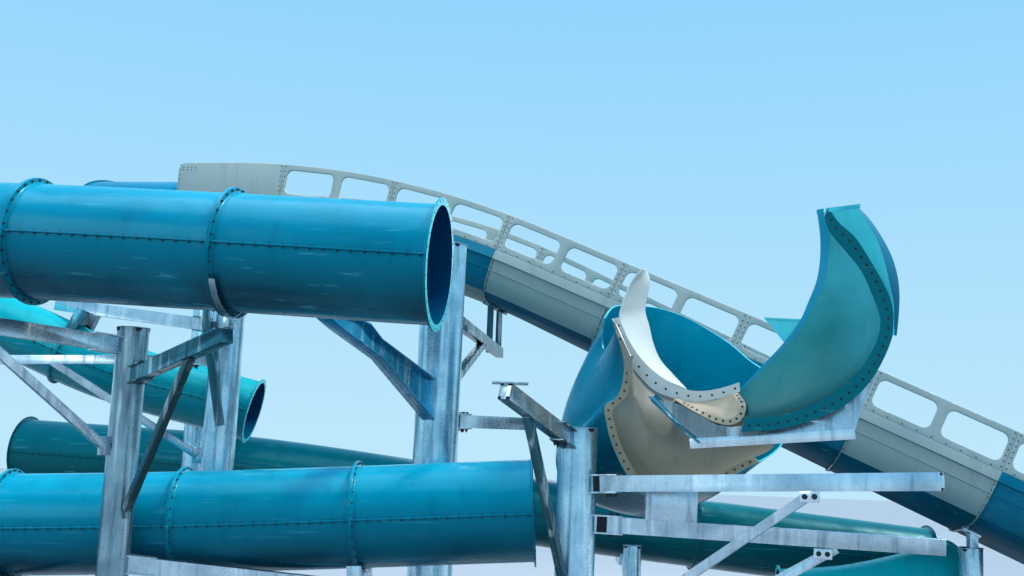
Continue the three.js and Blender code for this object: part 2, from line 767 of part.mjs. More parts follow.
const lipInner = ringGuide(RING.far, [[195, 1290], [215, 1293], [227, 1305], [240, 1314], [252, 1318],
  [261, 1295], [272, 1243], [285, 1193]]);
const lipOuter = ringGuide(RING.far, [[195, 1362], [203, 1376], [216, 1444], [226, 1468], [239, 1505],
  [250, 1476], [261, 1433], [271, 1377], [284, 1310]]);
const hornFront = ringGuide(RING.far, [[162, 988], [172, 1090], [180, 1148], [188, 1216], [195, 1282],
  [203, 1288], [215, 1292], [227, 1302], [240, 1311], [254, 1312]]);
const hornBack = places([[2895, -1788, 6971], [2938, -1781, 6817], [2900, -1747, 6581], [2888, -1726, 6414],
  [2946, -1718, 6217], [3004, -1707, 5991], [3104, -1706, 5764], [3290, -1820, 5530]]);
const bowlFront = places([[2360, -2480, 5760], [2440, -2560, 5120], [2760, -2660, 4700],
  [3400, -2740, 4560], [4000, -2760, 4660], [4420, -2790, 4800]]);
const bowlSeam = places([[2437, -2330, 6072], [2542, -2270, 5770], [2565, -2210, 5489], [2490, -2150, 5205],
  [2343, -2100, 5097], [2376, -2050, 4863], [2459, -2050, 4586], [2675, -2090, 4186], [2879, -2120, 3960],
  [3205, -2150, 3885], [3499, -2200, 3956], [3949, -2400, 4262], [4252, -2600, 4454]]);
const bowlBack = places([[2200, -1500, 5900], [1700, -850, 4950], [1950, -350, 4150],
  [3100, -200, 3850], [4200, -700, 4250], [4800, -1900, 4900]]);
const bowlRim = places([[2347, -1600, 6316], [2550, -1150, 6547], [2995, -900, 6595], [3325, -700, 6576],
  [3658, -620, 6479], [3967, -680, 6305], [4225, -900, 6100], [4433, -1300, 5826], [4560, -2000, 5600]]);

const wingSurface = folded([
  { curves: [wingLip, wingCrease], steps: 1 },
  { curves: [wingCrease, wingBulge, wingNear], steps: 5 },
  { curves: [wingNear, wingRim], steps: 1 },
]);
const flareSurface = folded([
  { curves: [flareRoot, flareRidge], steps: 1 },
  { curves: [flareRidge, flareEdge], steps: 1 },
]);
const frontSurface = folded([
  { curves: [lipInner, lipOuter], steps: 1 },
  { curves: [lipOuter, bowlFront, bowlSeam], steps: 5 },
]);
const hornSurface = folded([{ curves: [hornFront, hornBack], steps: 2 }]);
const rearSurface = folded([{ curves: [bowlSeam, bowlBack, bowlRim], steps: 6 }]);

const wingShell = (grow = 0) => shell(wingSurface, 18, 7, BOWL.thick, grow);
const frontShell = (grow = 0) => shell(frontSurface, 16, 6, BOWL.thick, grow);
const rearShell = (grow = 0) => shell(rearSurface, 14, 6, BOWL.thick, grow);

// The bowl's cradle: a rail below the wing, a gusset that follows its curve and a strap to the front shell

const CRADLE = { start: vec(3280, -3160, 4640), end: vec(5130, -3590, 4820), size: 120, plate: 16, curve: 1315 };

function cradleGusset() {
  const { start, plate } = CRADLE;
  const centre = new THREE.Vector2(784, 6266);
  const shape = new THREE.Shape();
  shape.moveTo(centre.x + 20, start.z + 90);
  for (let degrees = -84; degrees <= -27; degrees += 9.5) {
    const angle = degToRad(degrees);
    shape.lineTo(centre.x + CRADLE.curve * Math.cos(angle), centre.y + CRADLE.curve * Math.sin(angle));
  }
  shape.lineTo(2140, 5650);
  shape.lineTo(1890, 4820);
  shape.closePath();
  const geometry = new THREE.ExtrudeGeometry(shape, { depth: plate, bevelEnabled: false });
  geometry.rotateX(Math.PI / 2);
  geometry.rotateZ(BOWL.yaw);
  geometry.translate(start.x, start.y, 0);
  return geometry;
}

function cradleParts() {
  const { start, end, size, plate } = CRADLE;
  const foot = start.clone().lerp(end, 0.08);
  return [
    bar(start, end, size, size),
    cradleGusset(),
    bar(foot, vec(2880, -2790, 5200), 260, plate),
    bar(foot, vec(2880, -2790, 5200), plate, 120),
  ];
}

function saddleOn(beamRoot, beamEnd, from, to, width, height) {
  const lift = vec(0, 0, (ARM.depth + height) / 2 + 2 * TOUCH_GAP);
  return bar(beamRoot.clone().lerp(beamEnd, from).add(lift), beamRoot.clone().lerp(beamEnd, to).add(lift), width, height);
}

{
  const clearWing = [wingShell(2 * TOUCH_GAP)];
  const clearFront = frontShell(2 * TOUCH_GAP);
  const clearRear = rearShell(2 * TOUCH_GAP);
  const saddle = saddleOn(vec(1980, -2300, 3600), vec(6600, -2490, 3470), 0.19, 0.33, 260, 420);
  const horn = shell(hornSurface, 12, 2, BOWL.thick);
  const flare = shell(flareSurface, 12, 2, BOWL.thick);
  addPiece("bowl_wing", tidy(wingShell()), FINISH.teal);
  addPiece("bowl_flare", trimmed([flare], clearWing), FINISH.blue);
  addPiece("bowl_front_shell", trimmed([frontShell()], clearWing), FINISH.cream);
  addPiece("bowl_rear_shell", trimmed([rearShell()], [...clearWing, clearFront]), FINISH.blue);
  addPiece("bowl_horn", trimmed([horn], [...clearWing, clearFront, clearRear]), FINISH.cream);
  addPiece("bowl_cradle", trimmed(cradleParts(), [...clearWing, clearFront]), FINISH.galvanised);
  addPiece("bowl_saddle", trimmed([saddle], [clearFront, clearRear]), FINISH.galvanised);
}

export default root;
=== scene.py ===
"""The finish of the water slide: fine gelcoat shells, steelwork and fastenings round its fixed frame.

Units are metres in the part's own frame: X runs right along the slides, Y away from the front
tube and Z up, with the origin at the centre of the main column's foot.
"""

from __future__ import annotations

import bisect
import logging
import math
import random
from dataclasses import dataclass, field
from enum import Enum
from functools import cache
from itertools import pairwise
from typing import Callable, Iterable, Sequence

import bmesh
import bpy
from bmesh.types import BMEdge, BMesh, BMVert
from mathutils import Matrix, Vector, geometry


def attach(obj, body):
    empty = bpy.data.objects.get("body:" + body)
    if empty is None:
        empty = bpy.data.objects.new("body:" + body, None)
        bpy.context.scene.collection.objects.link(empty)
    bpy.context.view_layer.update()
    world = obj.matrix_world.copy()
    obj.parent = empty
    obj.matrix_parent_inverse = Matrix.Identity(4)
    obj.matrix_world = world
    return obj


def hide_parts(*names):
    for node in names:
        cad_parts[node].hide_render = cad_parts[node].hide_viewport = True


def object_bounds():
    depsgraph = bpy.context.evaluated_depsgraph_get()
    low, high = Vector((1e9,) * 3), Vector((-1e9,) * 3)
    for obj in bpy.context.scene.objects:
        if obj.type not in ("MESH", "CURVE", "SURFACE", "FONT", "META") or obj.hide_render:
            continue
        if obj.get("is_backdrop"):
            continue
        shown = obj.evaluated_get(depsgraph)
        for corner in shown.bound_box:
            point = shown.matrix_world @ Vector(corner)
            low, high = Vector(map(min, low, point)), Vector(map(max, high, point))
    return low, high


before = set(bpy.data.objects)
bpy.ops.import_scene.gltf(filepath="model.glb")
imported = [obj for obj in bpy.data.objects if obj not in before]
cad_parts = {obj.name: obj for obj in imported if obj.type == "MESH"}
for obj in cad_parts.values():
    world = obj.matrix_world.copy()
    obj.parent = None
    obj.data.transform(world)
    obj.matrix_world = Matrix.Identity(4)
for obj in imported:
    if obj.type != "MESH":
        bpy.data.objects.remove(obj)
CAD_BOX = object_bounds()

LOG = logging.getLogger("water_slide")
TOUCH_GAP = 0.0004
SHARP_ANGLE = math.radians(32)
QUARTER = math.pi / 2
PLATE_ROUND = 0.003
UP = Vector((0.0, 0.0, 1.0))
Colour = tuple[float, float, float]
Place = tuple[float, float, float]
Pair = tuple[float, float]
Point = tuple[float, float]
Outline = Sequence[Sequence[float]]
Socket = bpy.types.NodeSocket


class Slot(Enum):
    """The record's material slots."""

    TURQUOISE = "turquoise_gelcoat"
    TEAL = "teal_gelcoat"
    BLUE = "blue_gelcoat"
    CREAM = "cream_gelcoat"
    STEEL = "galvanised_steel"


class Side(Enum):
    """The two rims of the trough, as signs across the run."""

    NEAR = -1
    FAR = 1


class Keep(Enum):
    """What stays of a mesh that is cut level."""

    BOTH = 0
    BELOW = 1
    ABOVE = 2


# Finishes


@dataclass(frozen=True)
class Cloud:
    """A cloud pattern: its features to the metre, its finer layers and the band of values that counts."""

    scale: float
    detail: float
    low: float = 0.0
    high: float = 1.0
    stretch: Colour = (1, 1, 1)


FADED_PATCHES = Cloud(0.7, 4, 0.42, 0.75)
RUN_MARKS = Cloud(1.0, 6, 0.56, 0.78, (5, 5, 0.45))
SCUFFS = Cloud(1.0, 7, 0.63, 0.76, (0.9, 11, 17))
DULL_PATCHES = Cloud(1.6, 5, 0.3, 0.8)
SHELL_WAVES = Cloud(1.9, 1)
SHELL_GRAIN = Cloud(60, 2)
ZINC_CLOUDS = Cloud(2.6, 6, 0.32, 0.68)
ZINC_STAINS = Cloud(1.0, 7, 0.53, 0.7, (9, 9, 0.9))
PALE_STREAKS = Cloud(1.0, 5, 0.56, 0.66, (7, 7, 0.5))
ZINC_DIMPLES = Cloud(18, 2)
BOLT_WEAR = Cloud(45, 4, 0.45, 0.7)
BOLT_SMEARS = Cloud(30, 2)
FLOOR_CLOUDS = Cloud(0.4, 3)


class Recipe:
    """A node tree under construction for one finish."""

    def __init__(self, name: str) -> None:
        """Starts an empty material with its shader and its Object coordinates.

        Args:
            name: The material's name.
        """
        self.material = bpy.data.materials.new(name)
        self.material.use_nodes = True
        self.tree = self.material.node_tree
        self.coords = self.node("ShaderNodeTexCoord").outputs["Object"]

    def feed(self, node: bpy.types.Node, inputs: dict[str | int, object]) -> None:
        """Gives a node's inputs their values, or links the sockets that they come from.

        Args:
            node: The node.
            inputs: A value or a socket for each input, by the input's name or number.
        """
        for key, value in inputs.items():
            if isinstance(value, Socket):
                self.tree.links.new(value, node.inputs[key])
            else:
                node.inputs[key].default_value = value

    def node(self, kind: str, inputs: dict[str | int, object] | None = None) -> bpy.types.Node:
        """Adds a node.

        Args:
            kind: Its type.
            inputs: A value or a socket for each input.

        Returns:
            The new node.
        """
        node = self.tree.nodes.new(kind)
        self.feed(node, inputs or {})
        return node

    def shade(self, inputs: dict[str, object]) -> None:
        """Gives the shader's inputs their values or sockets."""
        self.feed(self.tree.nodes["Principled BSDF"], inputs)

    def noise(self, cloud: Cloud) -> Socket:
        """A cloud pattern on the object's own coordinates.

        Args:
            cloud: The pattern.

        Returns:
            The socket of its value.
        """
        mapping = self.node("ShaderNodeMapping", {"Scale": cloud.stretch, "Vector": self.coords})
        noise = self.node("ShaderNodeTexNoise", {
            "Scale": cloud.scale, "Detail": cloud.detail, "Vector": mapping.outputs["Vector"],
        })
        return noise.outputs["Fac"]

    def share(self, cloud: Cloud, start: float = 0.0, end: float = 1.0) -> Socket:
        """A cloud pattern whose band runs from one value to another."""
        return self.span(self.noise(cloud), (cloud.low, cloud.high), (start, end))

    def crystals(self, scale: float) -> Socket:
        """Flat angular cells, each with a random brightness."""
        cells = self.node("ShaderNodeTexVoronoi", {"Scale": scale, "Vector": self.coords})
        return self.node("ShaderNodeRGBToBW", {"Color": cells.outputs["Color"]}).outputs["Val"]

    def span(self, value: Socket, source: Pair, target: Pair) -> Socket:
        """A value moved from one range to another, and held inside it."""
        limits = dict(zip(("From Min", "From Max", "To Min", "To Max"), (*source, *target)))
        return self.node("ShaderNodeMapRange", {**limits, "Value": value}).outputs["Result"]

    def facing(self) -> Socket:
        """How far the surface faces up, from -1 to 1."""
        normal = self.node("ShaderNodeNewGeometry").outputs["Normal"]
        return self.node("ShaderNodeSeparateXYZ", {"Vector": normal}).outputs["Z"]

    def mix(self, factor: Socket, first: Colour | Socket, second: Colour | Socket) -> Socket:
        """Two colours mixed by a factor.

        Args:
            factor: The share of the second colour.
            first: A colour, or a socket that gives one.
            second: A colour, or a socket that gives one.

        Returns:
            The mixed colour's socket.
        """
        node = self.node("ShaderNodeMix")
        node.data_type = "RGBA"
        first, second = (c if isinstance(c, Socket) else (*c, 1.0) for c in (first, second))
        self.feed(node, {0: factor, 6: first, 7: second})
        return node.outputs[2]

    def add(self, first: Socket, second: Socket) -> Socket:
        """The sum of two values."""
        return self.node("ShaderNodeMath", {0: first, 1: second}).outputs[0]

    def relief(self, height: Socket, depth: float, strength: float) -> Socket:
        """A normal for a relief of a real depth, of which a share shows."""
        inputs = {"Distance": depth, "Strength": strength, "Height": height}
        return self.node("ShaderNodeBump", inputs).outputs["Normal"]


@dataclass(frozen=True)
class Gelcoat:
    """Glossy moulded fibreglass with painted light: a sunlit colour on faces that look up and a shade colour
    on faces that look down, with run marks and rubbed scuffs.
    """

    name: str
    # Painted light and shade: sun colours the faces that look up, shade the faces that look down.
    sun: Colour
    shade: Colour
    cloud: Colour
    roughness: float = 0.2
    coat: float = 0.08
    shine: float = 0.4
    gloss: Colour = (0.1, 0.8, 0.95)
    grime: Colour = (0.0, 0.06, 0.08)
    grime_share: float = 0.28
    scuff: Colour = (0.12, 0.5, 0.56)
    scuff_share: float = 0.35
    cloud_share: float = 0.6
    painted_light_band: Pair = (-0.7, 0.9)
    dulling: float = 0.16
    grain: float = 0.015
    wave_depth: float = 0.03
    wave_strength: float = 0.35
    coat_roughness: float = 0.06

    @cache
    def material(self) -> bpy.types.Material:
        """Builds the node material on the first call.

        Returns:
            The finish's one material.
        """
        recipe = Recipe(self.name)
        # Painted light: each face is mixed from the shade colour to the sun colour by how far it looks up.
        painted_light_share = recipe.span(recipe.facing(), self.painted_light_band, (0, 1))
        colour = recipe.mix(painted_light_share, self.shade, self.sun)
        colour = recipe.mix(recipe.share(FADED_PATCHES, 0, self.cloud_share), colour, self.cloud)
        colour = recipe.mix(recipe.share(RUN_MARKS, 0, self.grime_share), colour, self.grime)
        rubbed = recipe.share(SCUFFS, 0, self.scuff_share)
        dull = recipe.share(DULL_PATCHES, self.roughness, self.roughness + self.dulling)
        wavy = recipe.add(recipe.noise(SHELL_WAVES), recipe.share(SHELL_GRAIN, 0, self.grain))
        recipe.shade({
            "Base Color": recipe.mix(rubbed, colour, self.scuff),
            "Roughness": recipe.add(dull, rubbed),
            "Normal": recipe.relief(wavy, self.wave_depth, self.wave_strength),
            "Specular IOR Level": self.shine,
            "Specular Tint": (*self.gloss, 1.0),
            "Coat Weight": self.coat,
            "Coat Roughness": self.coat_roughness,
        })
        return recipe.material


@dataclass(frozen=True)
class Galvanised:
    """Hot-dip zinc: angular spangle, cloudy patches and dark run stains, with painted shade on faces that
    look down.
    """

    name: str
    bright: Colour
    dull: Colour
    stain: Colour
    stain_share: float
    # Painted shade: the colour mixed into faces that look down.
    under: Colour = (0.03, 0.09, 0.11)
    metallic: float = 0.88
    roughness: float = 0.2
    spangles: float = 38
    grain_band: Pair = (0.2, 0.8)
    grain_share: float = 0.14
    streak: Colour = (0.86, 0.95, 1.0)
    streak_share: float = 0.5
    painted_shade_band: Pair = (-0.7, -0.05)
    painted_shade_share: float = 0.85
    spangle_dulling: float = 0.1
    stain_dulling: float = 0.4
    dimple_depth: float = 0.0012
    dimple_strength: float = 0.3

    @cache
    def material(self) -> bpy.types.Material:
        """Builds the node material on the first call.

        Returns:
            The finish's one material.
        """
        recipe = Recipe(self.name)
        spangle = recipe.crystals(self.spangles)
        colour = recipe.mix(recipe.share(ZINC_CLOUDS), self.bright, self.dull)
        grain = recipe.span(spangle, self.grain_band, (0, self.grain_share))
        colour = recipe.mix(grain, colour, self.dull)
        stained = recipe.share(ZINC_STAINS, 0, self.stain_share)
        colour = recipe.mix(stained, colour, self.stain)
        colour = recipe.mix(recipe.share(PALE_STREAKS, 0, self.streak_share), colour, self.streak)
        # Painted shade: faces that look down are mixed towards the under colour.
        below = recipe.span(recipe.facing(), self.painted_shade_band, (self.painted_shade_share, 0))
        rough = recipe.span(spangle, (0, 1), (self.roughness, self.roughness + self.spangle_dulling))
        rougher = recipe.span(stained, (0, 1), (0, self.stain_dulling))
        recipe.shade({
            "Base Color": recipe.mix(below, colour, self.under),
            "Roughness": recipe.add(rough, rougher),
            "Normal": recipe.relief(recipe.noise(ZINC_DIMPLES), self.dimple_depth, self.dimple_strength),
            "Metallic": self.metallic,
        })
        return recipe.material


@dataclass(frozen=True)
class DarkMetal:
    """Blackened bolts, and the shadow inside holes and open ends."""

    name: str
    base: Colour
    worn: Colour
    metallic: float
    roughness: float
    smearing: float = 0.2

    @cache
    def material(self) -> bpy.types.Material:
        """Builds the node material on the first call.

        Returns:
            The finish's one material.
        """
        recipe = Recipe(self.name)
        recipe.shade({
            "Base Color": recipe.mix(recipe.share(BOLT_WEAR), self.base, self.worn),
            "Roughness": recipe.share(BOLT_SMEARS, self.roughness, self.roughness + self.smearing),
            "Metallic": self.metallic,
        })
        return recipe.material


Finish = Gelcoat | Galvanised | DarkMetal

TURQUOISE = Gelcoat(
    "turquoise_gelcoat_outside", (0.0, 0.36, 0.52), (0.0, 0.032, 0.055), (0.0, 0.14, 0.21), coat=0.05,
    shine=0.3,
)
TEAL = Gelcoat("teal_gelcoat_outside", (0.0, 0.46, 0.5), (0.0, 0.12, 0.15), (0.02, 0.28, 0.32))
DEEP_TEAL = Gelcoat(
    "deep_teal_gelcoat_outside", (0.0, 0.19, 0.22), (0.0, 0.045, 0.055), (0.0, 0.1, 0.11), shine=0.3,
)
BLUE = Gelcoat(
    "blue_gelcoat_outside", (0.0, 0.26, 0.42), (0.0, 0.045, 0.085), (0.0, 0.12, 0.2), scuff_share=0.2,
)
UNDER_BLUE = Gelcoat(
    "blue_gelcoat_underside", (0.0, 0.26, 0.42), (0.0, 0.05, 0.09), (0.0, 0.1, 0.16), roughness=0.5,
    coat=0.0, shine=0.05,
)
# Painted light: faces that look down are painted brighter than faces that look up.
LAGOON = Gelcoat(
    "lagoon_gelcoat_inside", (0.0, 0.2, 0.3), (0.0, 0.44, 0.62), (0.0, 0.4, 0.48), scuff_share=0.15,
)
LIP_BLUE = Gelcoat(
    "lip_blue_gelcoat", (0.02, 0.38, 0.5), (0.04, 0.36, 0.56), (0.0, 0.25, 0.36), scuff_share=0.15,
)
CREAM = Gelcoat(
    "cream_gelcoat_outside", (0.76, 0.76, 0.66), (0.03, 0.15, 0.17), (0.22, 0.32, 0.31), roughness=0.34,
    gloss=(0.8, 0.95, 1.0), grime=(0.14, 0.16, 0.14), grime_share=0.35, scuff=(0.3, 0.3, 0.26),
    scuff_share=0.25,
)
UNDER_CREAM = Gelcoat(
    "cream_gelcoat_underside", (0.7, 0.7, 0.62), (0.12, 0.2, 0.18), (0.16, 0.22, 0.2), roughness=0.5,
    coat=0.0, shine=0.05, grime=(0.14, 0.16, 0.14), scuff=(0.3, 0.3, 0.26), scuff_share=0.2,
)
# Painted shade: faces that look up are painted darker than faces that look down.
SAND = Gelcoat(
    "sand_laminate_outside", (0.12, 0.14, 0.12), (0.38, 0.32, 0.22), (0.14, 0.15, 0.12), roughness=0.46,
    coat=0.0, gloss=(0.3, 0.32, 0.33), grime=(0.07, 0.08, 0.07), grime_share=0.4,
    scuff=(0.4, 0.22, 0.13), scuff_share=0.35,
)
TAN = Gelcoat(
    "tan_laminate_flange", (0.54, 0.43, 0.29), (0.38, 0.31, 0.2), (0.32, 0.27, 0.19), roughness=0.36,
    gloss=(0.8, 0.95, 1.0), grime=(0.14, 0.12, 0.09), grime_share=0.4, scuff=(0.5, 0.36, 0.25),
    scuff_share=0.3,
)
IVORY = Gelcoat(
    "ivory_gelcoat_inside", (0.86, 0.86, 0.8), (0.58, 0.6, 0.56), (0.72, 0.72, 0.66), roughness=0.26,
    coat=0.2, gloss=(0.9, 0.97, 1.0), grime=(0.5, 0.48, 0.42), grime_share=0.2, scuff=(0.6, 0.57, 0.5),
    scuff_share=0.2,
)
BORE = Gelcoat(
    "deep_blue_gelcoat_bore", (0.0, 0.1, 0.2), (0.0, 0.03, 0.1), (0.0, 0.04, 0.13), scuff_share=0.1,
)
# Aqua gelcoat for the ear, the flare's inner band and the wing's end flange, and a painted highlight on the
# rear shell's rim faces and the tubes' open ends.
AQUA_AND_RIM_HIGHLIGHT = Gelcoat("aqua_gelcoat_rim", (0.1, 0.68, 0.72), (0.05, 0.5, 0.56), (0.06, 0.55, 0.6), roughness=0.3)
# Painted reflection and shade: faces that look down are painted pale sky blue, faces that look up dark green.
SEA_GREEN = Gelcoat(
    "sea_green_gelcoat_inside", (0.0, 0.03, 0.014), (0.08, 0.62, 0.72), (0.0, 0.075, 0.055),
    roughness=0.22, coat=0.04, gloss=(0.15, 0.72, 0.6), scuff=(0.1, 0.4, 0.36), scuff_share=0.2,
)
DEEP_GREEN = Gelcoat(
    "deep_green_gelcoat_flange", (0.0, 0.15, 0.17), (0.0, 0.09, 0.12), (0.0, 0.1, 0.12), roughness=0.3,
)
STEEL = Galvanised("galvanised_steel_plain", (0.66, 0.79, 0.86), (0.36, 0.48, 0.56), (0.06, 0.1, 0.14), 0.5)
STAINED_STEEL = Galvanised(
    "galvanised_steel_stained", (0.56, 0.82, 0.92), (0.26, 0.48, 0.6), (0.03, 0.08, 0.12), 0.55,
)
# A darker copy of the galvanised finish, for the left column.
DARKER_STEEL = Galvanised(
    "galvanised_steel_worn", (0.32, 0.47, 0.53), (0.17, 0.28, 0.33), (0.03, 0.06, 0.08), 0.6,
)
# A blue copy of the galvanised finish for the haunch: painted shade.
SHADED_BLUE_STEEL = Galvanised(
    "galvanised_steel_in_shade", (0.02, 0.48, 0.72), (0.01, 0.3, 0.47), (0.0, 0.12, 0.2), 0.4,
    under=(0.0, 0.16, 0.25),
)
# A brighter copy of the galvanised finish: painted light.
PAINTED_LIGHT_STEEL = Galvanised(
    "galvanised_steel_bright", (0.8, 0.88, 0.92), (0.6, 0.68, 0.73), (0.2, 0.24, 0.27), 0.4,
)
GREY_STEEL = Galvanised(
    "galvanised_steel_dull", (0.3, 0.36, 0.38), (0.15, 0.19, 0.2), (0.05, 0.07, 0.08), 0.4,
)
# A near-black copy of the galvanised finish: painted deep shade and painted dark reflection.
DEEP_SHADE_STEEL = Galvanised(
    "galvanised_steel_dark", (0.02, 0.13, 0.16), (0.01, 0.07, 0.09), (0.005, 0.03, 0.035), 0.4,
    under=(0.004, 0.03, 0.035), metallic=0.45,
)
# A darker copy of the galvanised finish: painted shade.
SHADED_STEEL = Galvanised(
    "galvanised_steel_weathered", (0.07, 0.3, 0.38), (0.03, 0.14, 0.19), (0.01, 0.035, 0.045), 0.6,
    under=(0.008, 0.03, 0.035),
)
BOLT = DarkMetal("zinc_black_bolt", (0.004, 0.014, 0.026), (0.03, 0.075, 0.1), 0.4, 0.45)
SHADOW = DarkMetal("hole_shadow", (0.006, 0.008, 0.012), (0.02, 0.022, 0.03), 0.0, 0.8)


# Mesh helpers


def add_object(name: str, data: bpy.types.ID) -> bpy.types.Object:
    """Adds an object to the scene.

    Args:
        name: Its name.
        data: Its mesh, camera or light.

    Returns:
        The new object.
    """
    made = bpy.data.objects.new(name, data)
    bpy.context.scene.collection.objects.link(made)
    return made


def set_piece(
    name: str, bm: BMesh, finishes: Sequence[Finish], slot: Slot, nodes: Iterable[str] = (),
) -> None:
    """Turns a mesh under construction into a finished piece that rides on the fixed body.

    Args:
        name: The piece's name.
        bm: Its mesh, which is freed.
        finishes: One finish for each material index.
        slot: Not used.
        nodes: The frame's nodes that it stands for.
    """
    bm.normal_update()
    for face in bm.faces:
        face.smooth = True
    for edge in bm.edges:
        edge.smooth = len(edge.link_faces) == 2 and edge.calc_face_angle(math.pi) < SHARP_ANGLE
    mesh = bpy.data.meshes.new(name)
    bm.to_mesh(mesh)
    bm.free()
    for finish in finishes:
        mesh.materials.append(finish.material())
    piece = add_object(name, mesh)
    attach(piece, "root")
    for node in nodes:
        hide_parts(node)
    LOG.info("%s: %d faces", name, len(mesh.polygons))


def round_off(
    bm: BMesh, parts: Iterable[BMEdge | BMVert], width: float, segments: int = 2, affect: str = "EDGES",
) -> None:
    """Rounds some edges of a mesh, or its flat corners where it is to affect VERTICES."""
    bmesh.ops.bevel(bm, geom=list(parts), offset=width, offset_type="OFFSET", segments=segments, profile=0.5,
                    affect=affect, clamp_overlap=affect == "EDGES", material=-1)


def sharp_edges(bm: BMesh, degrees: float = 50) -> list[BMEdge]:
    """The edges where two faces meet at more than an angle."""
    limit = math.radians(degrees)
    return [e for e in bm.edges if len(e.link_faces) == 2 and e.calc_face_angle(0) > limit]


def close_holes(bm: BMesh) -> None:
    """Fills every open boundary of a mesh with a face."""
    bmesh.ops.holes_fill(bm, edges=[e for e in bm.edges if e.is_boundary], sides=0)


def cut_level(bm: BMesh, height: float, keep: Keep = Keep.BOTH) -> None:
    """Cuts a mesh along a level plane, and keeps all of it or one side."""
    bmesh.ops.bisect_plane(bm, geom=[*bm.verts, *bm.edges, *bm.faces], plane_co=(0, 0, height), plane_no=UP,
                           clear_outer=keep is Keep.BELOW, clear_inner=keep is Keep.ABOVE)


def rounded_loop(bm: BMesh, corners: Outline, segments: int = 3) -> list[BMEdge]:
    """Draws a closed outline in the XY plane, with rounded corners and no face.

    Args:
        bm: The empty mesh to draw in.
        corners: X and Y of each corner in turn, and its radius where it is rounded.
        segments: Facets to each rounded corner.

    Returns:
        The outline's edges.
    """
    verts = [bm.verts.new((*corner[:2], 0.0)) for corner in corners]
    bm.faces.new(verts)
    for radius in sorted({corner[2] for corner in corners if len(corner) > 2}):
        chosen = [v for v, corner in zip(verts, corners) if corner[2:] == (radius,)]
        round_off(bm, chosen, radius, segments, "VERTICES")
    bmesh.ops.delete(bm, geom=bm.faces[:], context="FACES_ONLY")
    return bm.edges[:]


def prism(corners: Outline, stations: Sequence[float], segments: int = 3) -> BMesh:
    """A solid of one outline, drawn out along Z through a row of stations.

    Args:
        corners: X and Y of each corner of the outline, and its radius where it is rounded.
        stations: The heights along Z, from first to last.
        segments: Facets to each rounded corner.

    Returns:
        The closed mesh, with its faces outward.
    """
    bm = bmesh.new()
    edges = rounded_loop(bm, corners, segments)
    bmesh.ops.translate(bm, verts=bm.verts[:], vec=(0, 0, stations[0]))
    for low, high in pairwise(stations):
        grown = bmesh.ops.extrude_edge_only(bm, edges=edges)["geom"]
        fresh = {item for item in grown if isinstance(item, BMVert)}
        edges = [item for item in grown if isinstance(item, BMEdge) and set(item.verts) <= fresh]
        bmesh.ops.translate(bm, verts=list(fresh), vec=(0, 0, high - low))
    close_holes(bm)
    bmesh.ops.recalc_face_normals(bm, faces=bm.faces[:])
    return bm


def spread(start: float, end: float, steps: int) -> list[float]:
    """Evenly spaced numbers from start to end, both included."""
    return [start + (end - start) * i / steps for i in range(steps + 1)]


def compass(angle: float) -> Vector:
    """The level direction at an angle from X."""
    return Vector((math.cos(angle), math.sin(angle), 0.0))


def circle_points(across: float, rise: float, degrees: Iterable[float]) -> list[Point]:
    """Points on an ellipse round the origin, from its half width, its half height and their angles."""
    angles = [math.radians(number) for number in degrees]
    return [(across * math.cos(angle), rise * math.sin(angle)) for angle in angles]


def add_cylinder(bm: BMesh, place: Matrix, radius: float, depth: float, sides: int, taper: float = 1) -> None:
    """Adds a closed cylinder round a place, of whose radius a share is left at its top."""
    bmesh.ops.create_cone(bm, cap_ends=True, segments=sides, radius1=radius, radius2=radius * taper,
                          depth=depth, matrix=place)


def turned(bm: BMesh, turn: Matrix, place: Vector) -> BMesh:
    """Turns a mesh about its origin and moves it.

    Args:
        bm: The mesh.
        turn: Its rotation.
        place: Where its origin goes.

    Returns:
        The same mesh.
    """
    bmesh.ops.rotate(bm, cent=(0, 0, 0), matrix=turn, verts=bm.verts[:])
    bmesh.ops.translate(bm, vec=place, verts=bm.verts[:])
    return bm


def block(size: Place, centre: Vector, turn: Matrix = Matrix.Identity(3), width: float = 0.004) -> BMesh:
    """A box with rounded edges.

    Args:
        size: Its three sides.
        centre: The place of its middle.
        turn: Its rotation.
        width: The width of the rounding.

    Returns:
        The new mesh.
    """
    bm = bmesh.new()
    bmesh.ops.create_cube(bm, size=1.0)
    bmesh.ops.scale(bm, vec=size, verts=bm.verts[:])
    round_off(bm, bm.edges[:], width)
    return turned(bm, turn, centre)


def pour(part: BMesh, whole: BMesh) -> None:
    """Adds one mesh to another, and frees it.

    Args:
        part: The mesh that is freed.
        whole: The mesh that takes it in.
    """
    carried = bpy.data.meshes.new("carried")
    part.to_mesh(carried)
    part.free()
    whole.from_mesh(carried)
    bpy.data.meshes.remove(carried)


def join(parts: Iterable[BMesh]) -> BMesh:
    """Several meshes as one, and the several freed.

    Args:
        parts: The meshes.

    Returns:
        The joined mesh.
    """
    whole = bmesh.new()
    for part in parts:
        pour(part, whole)
    return whole


def upright(bm: BMesh, origin: Vector, heading: Vector) -> BMesh:
    """Stands a mesh drawn in the XY plane up, with its X along a level heading and its Y as height."""
    return turned(bm, Matrix((heading, UP, heading.cross(UP))).transposed(), origin)


# Curves and tracks


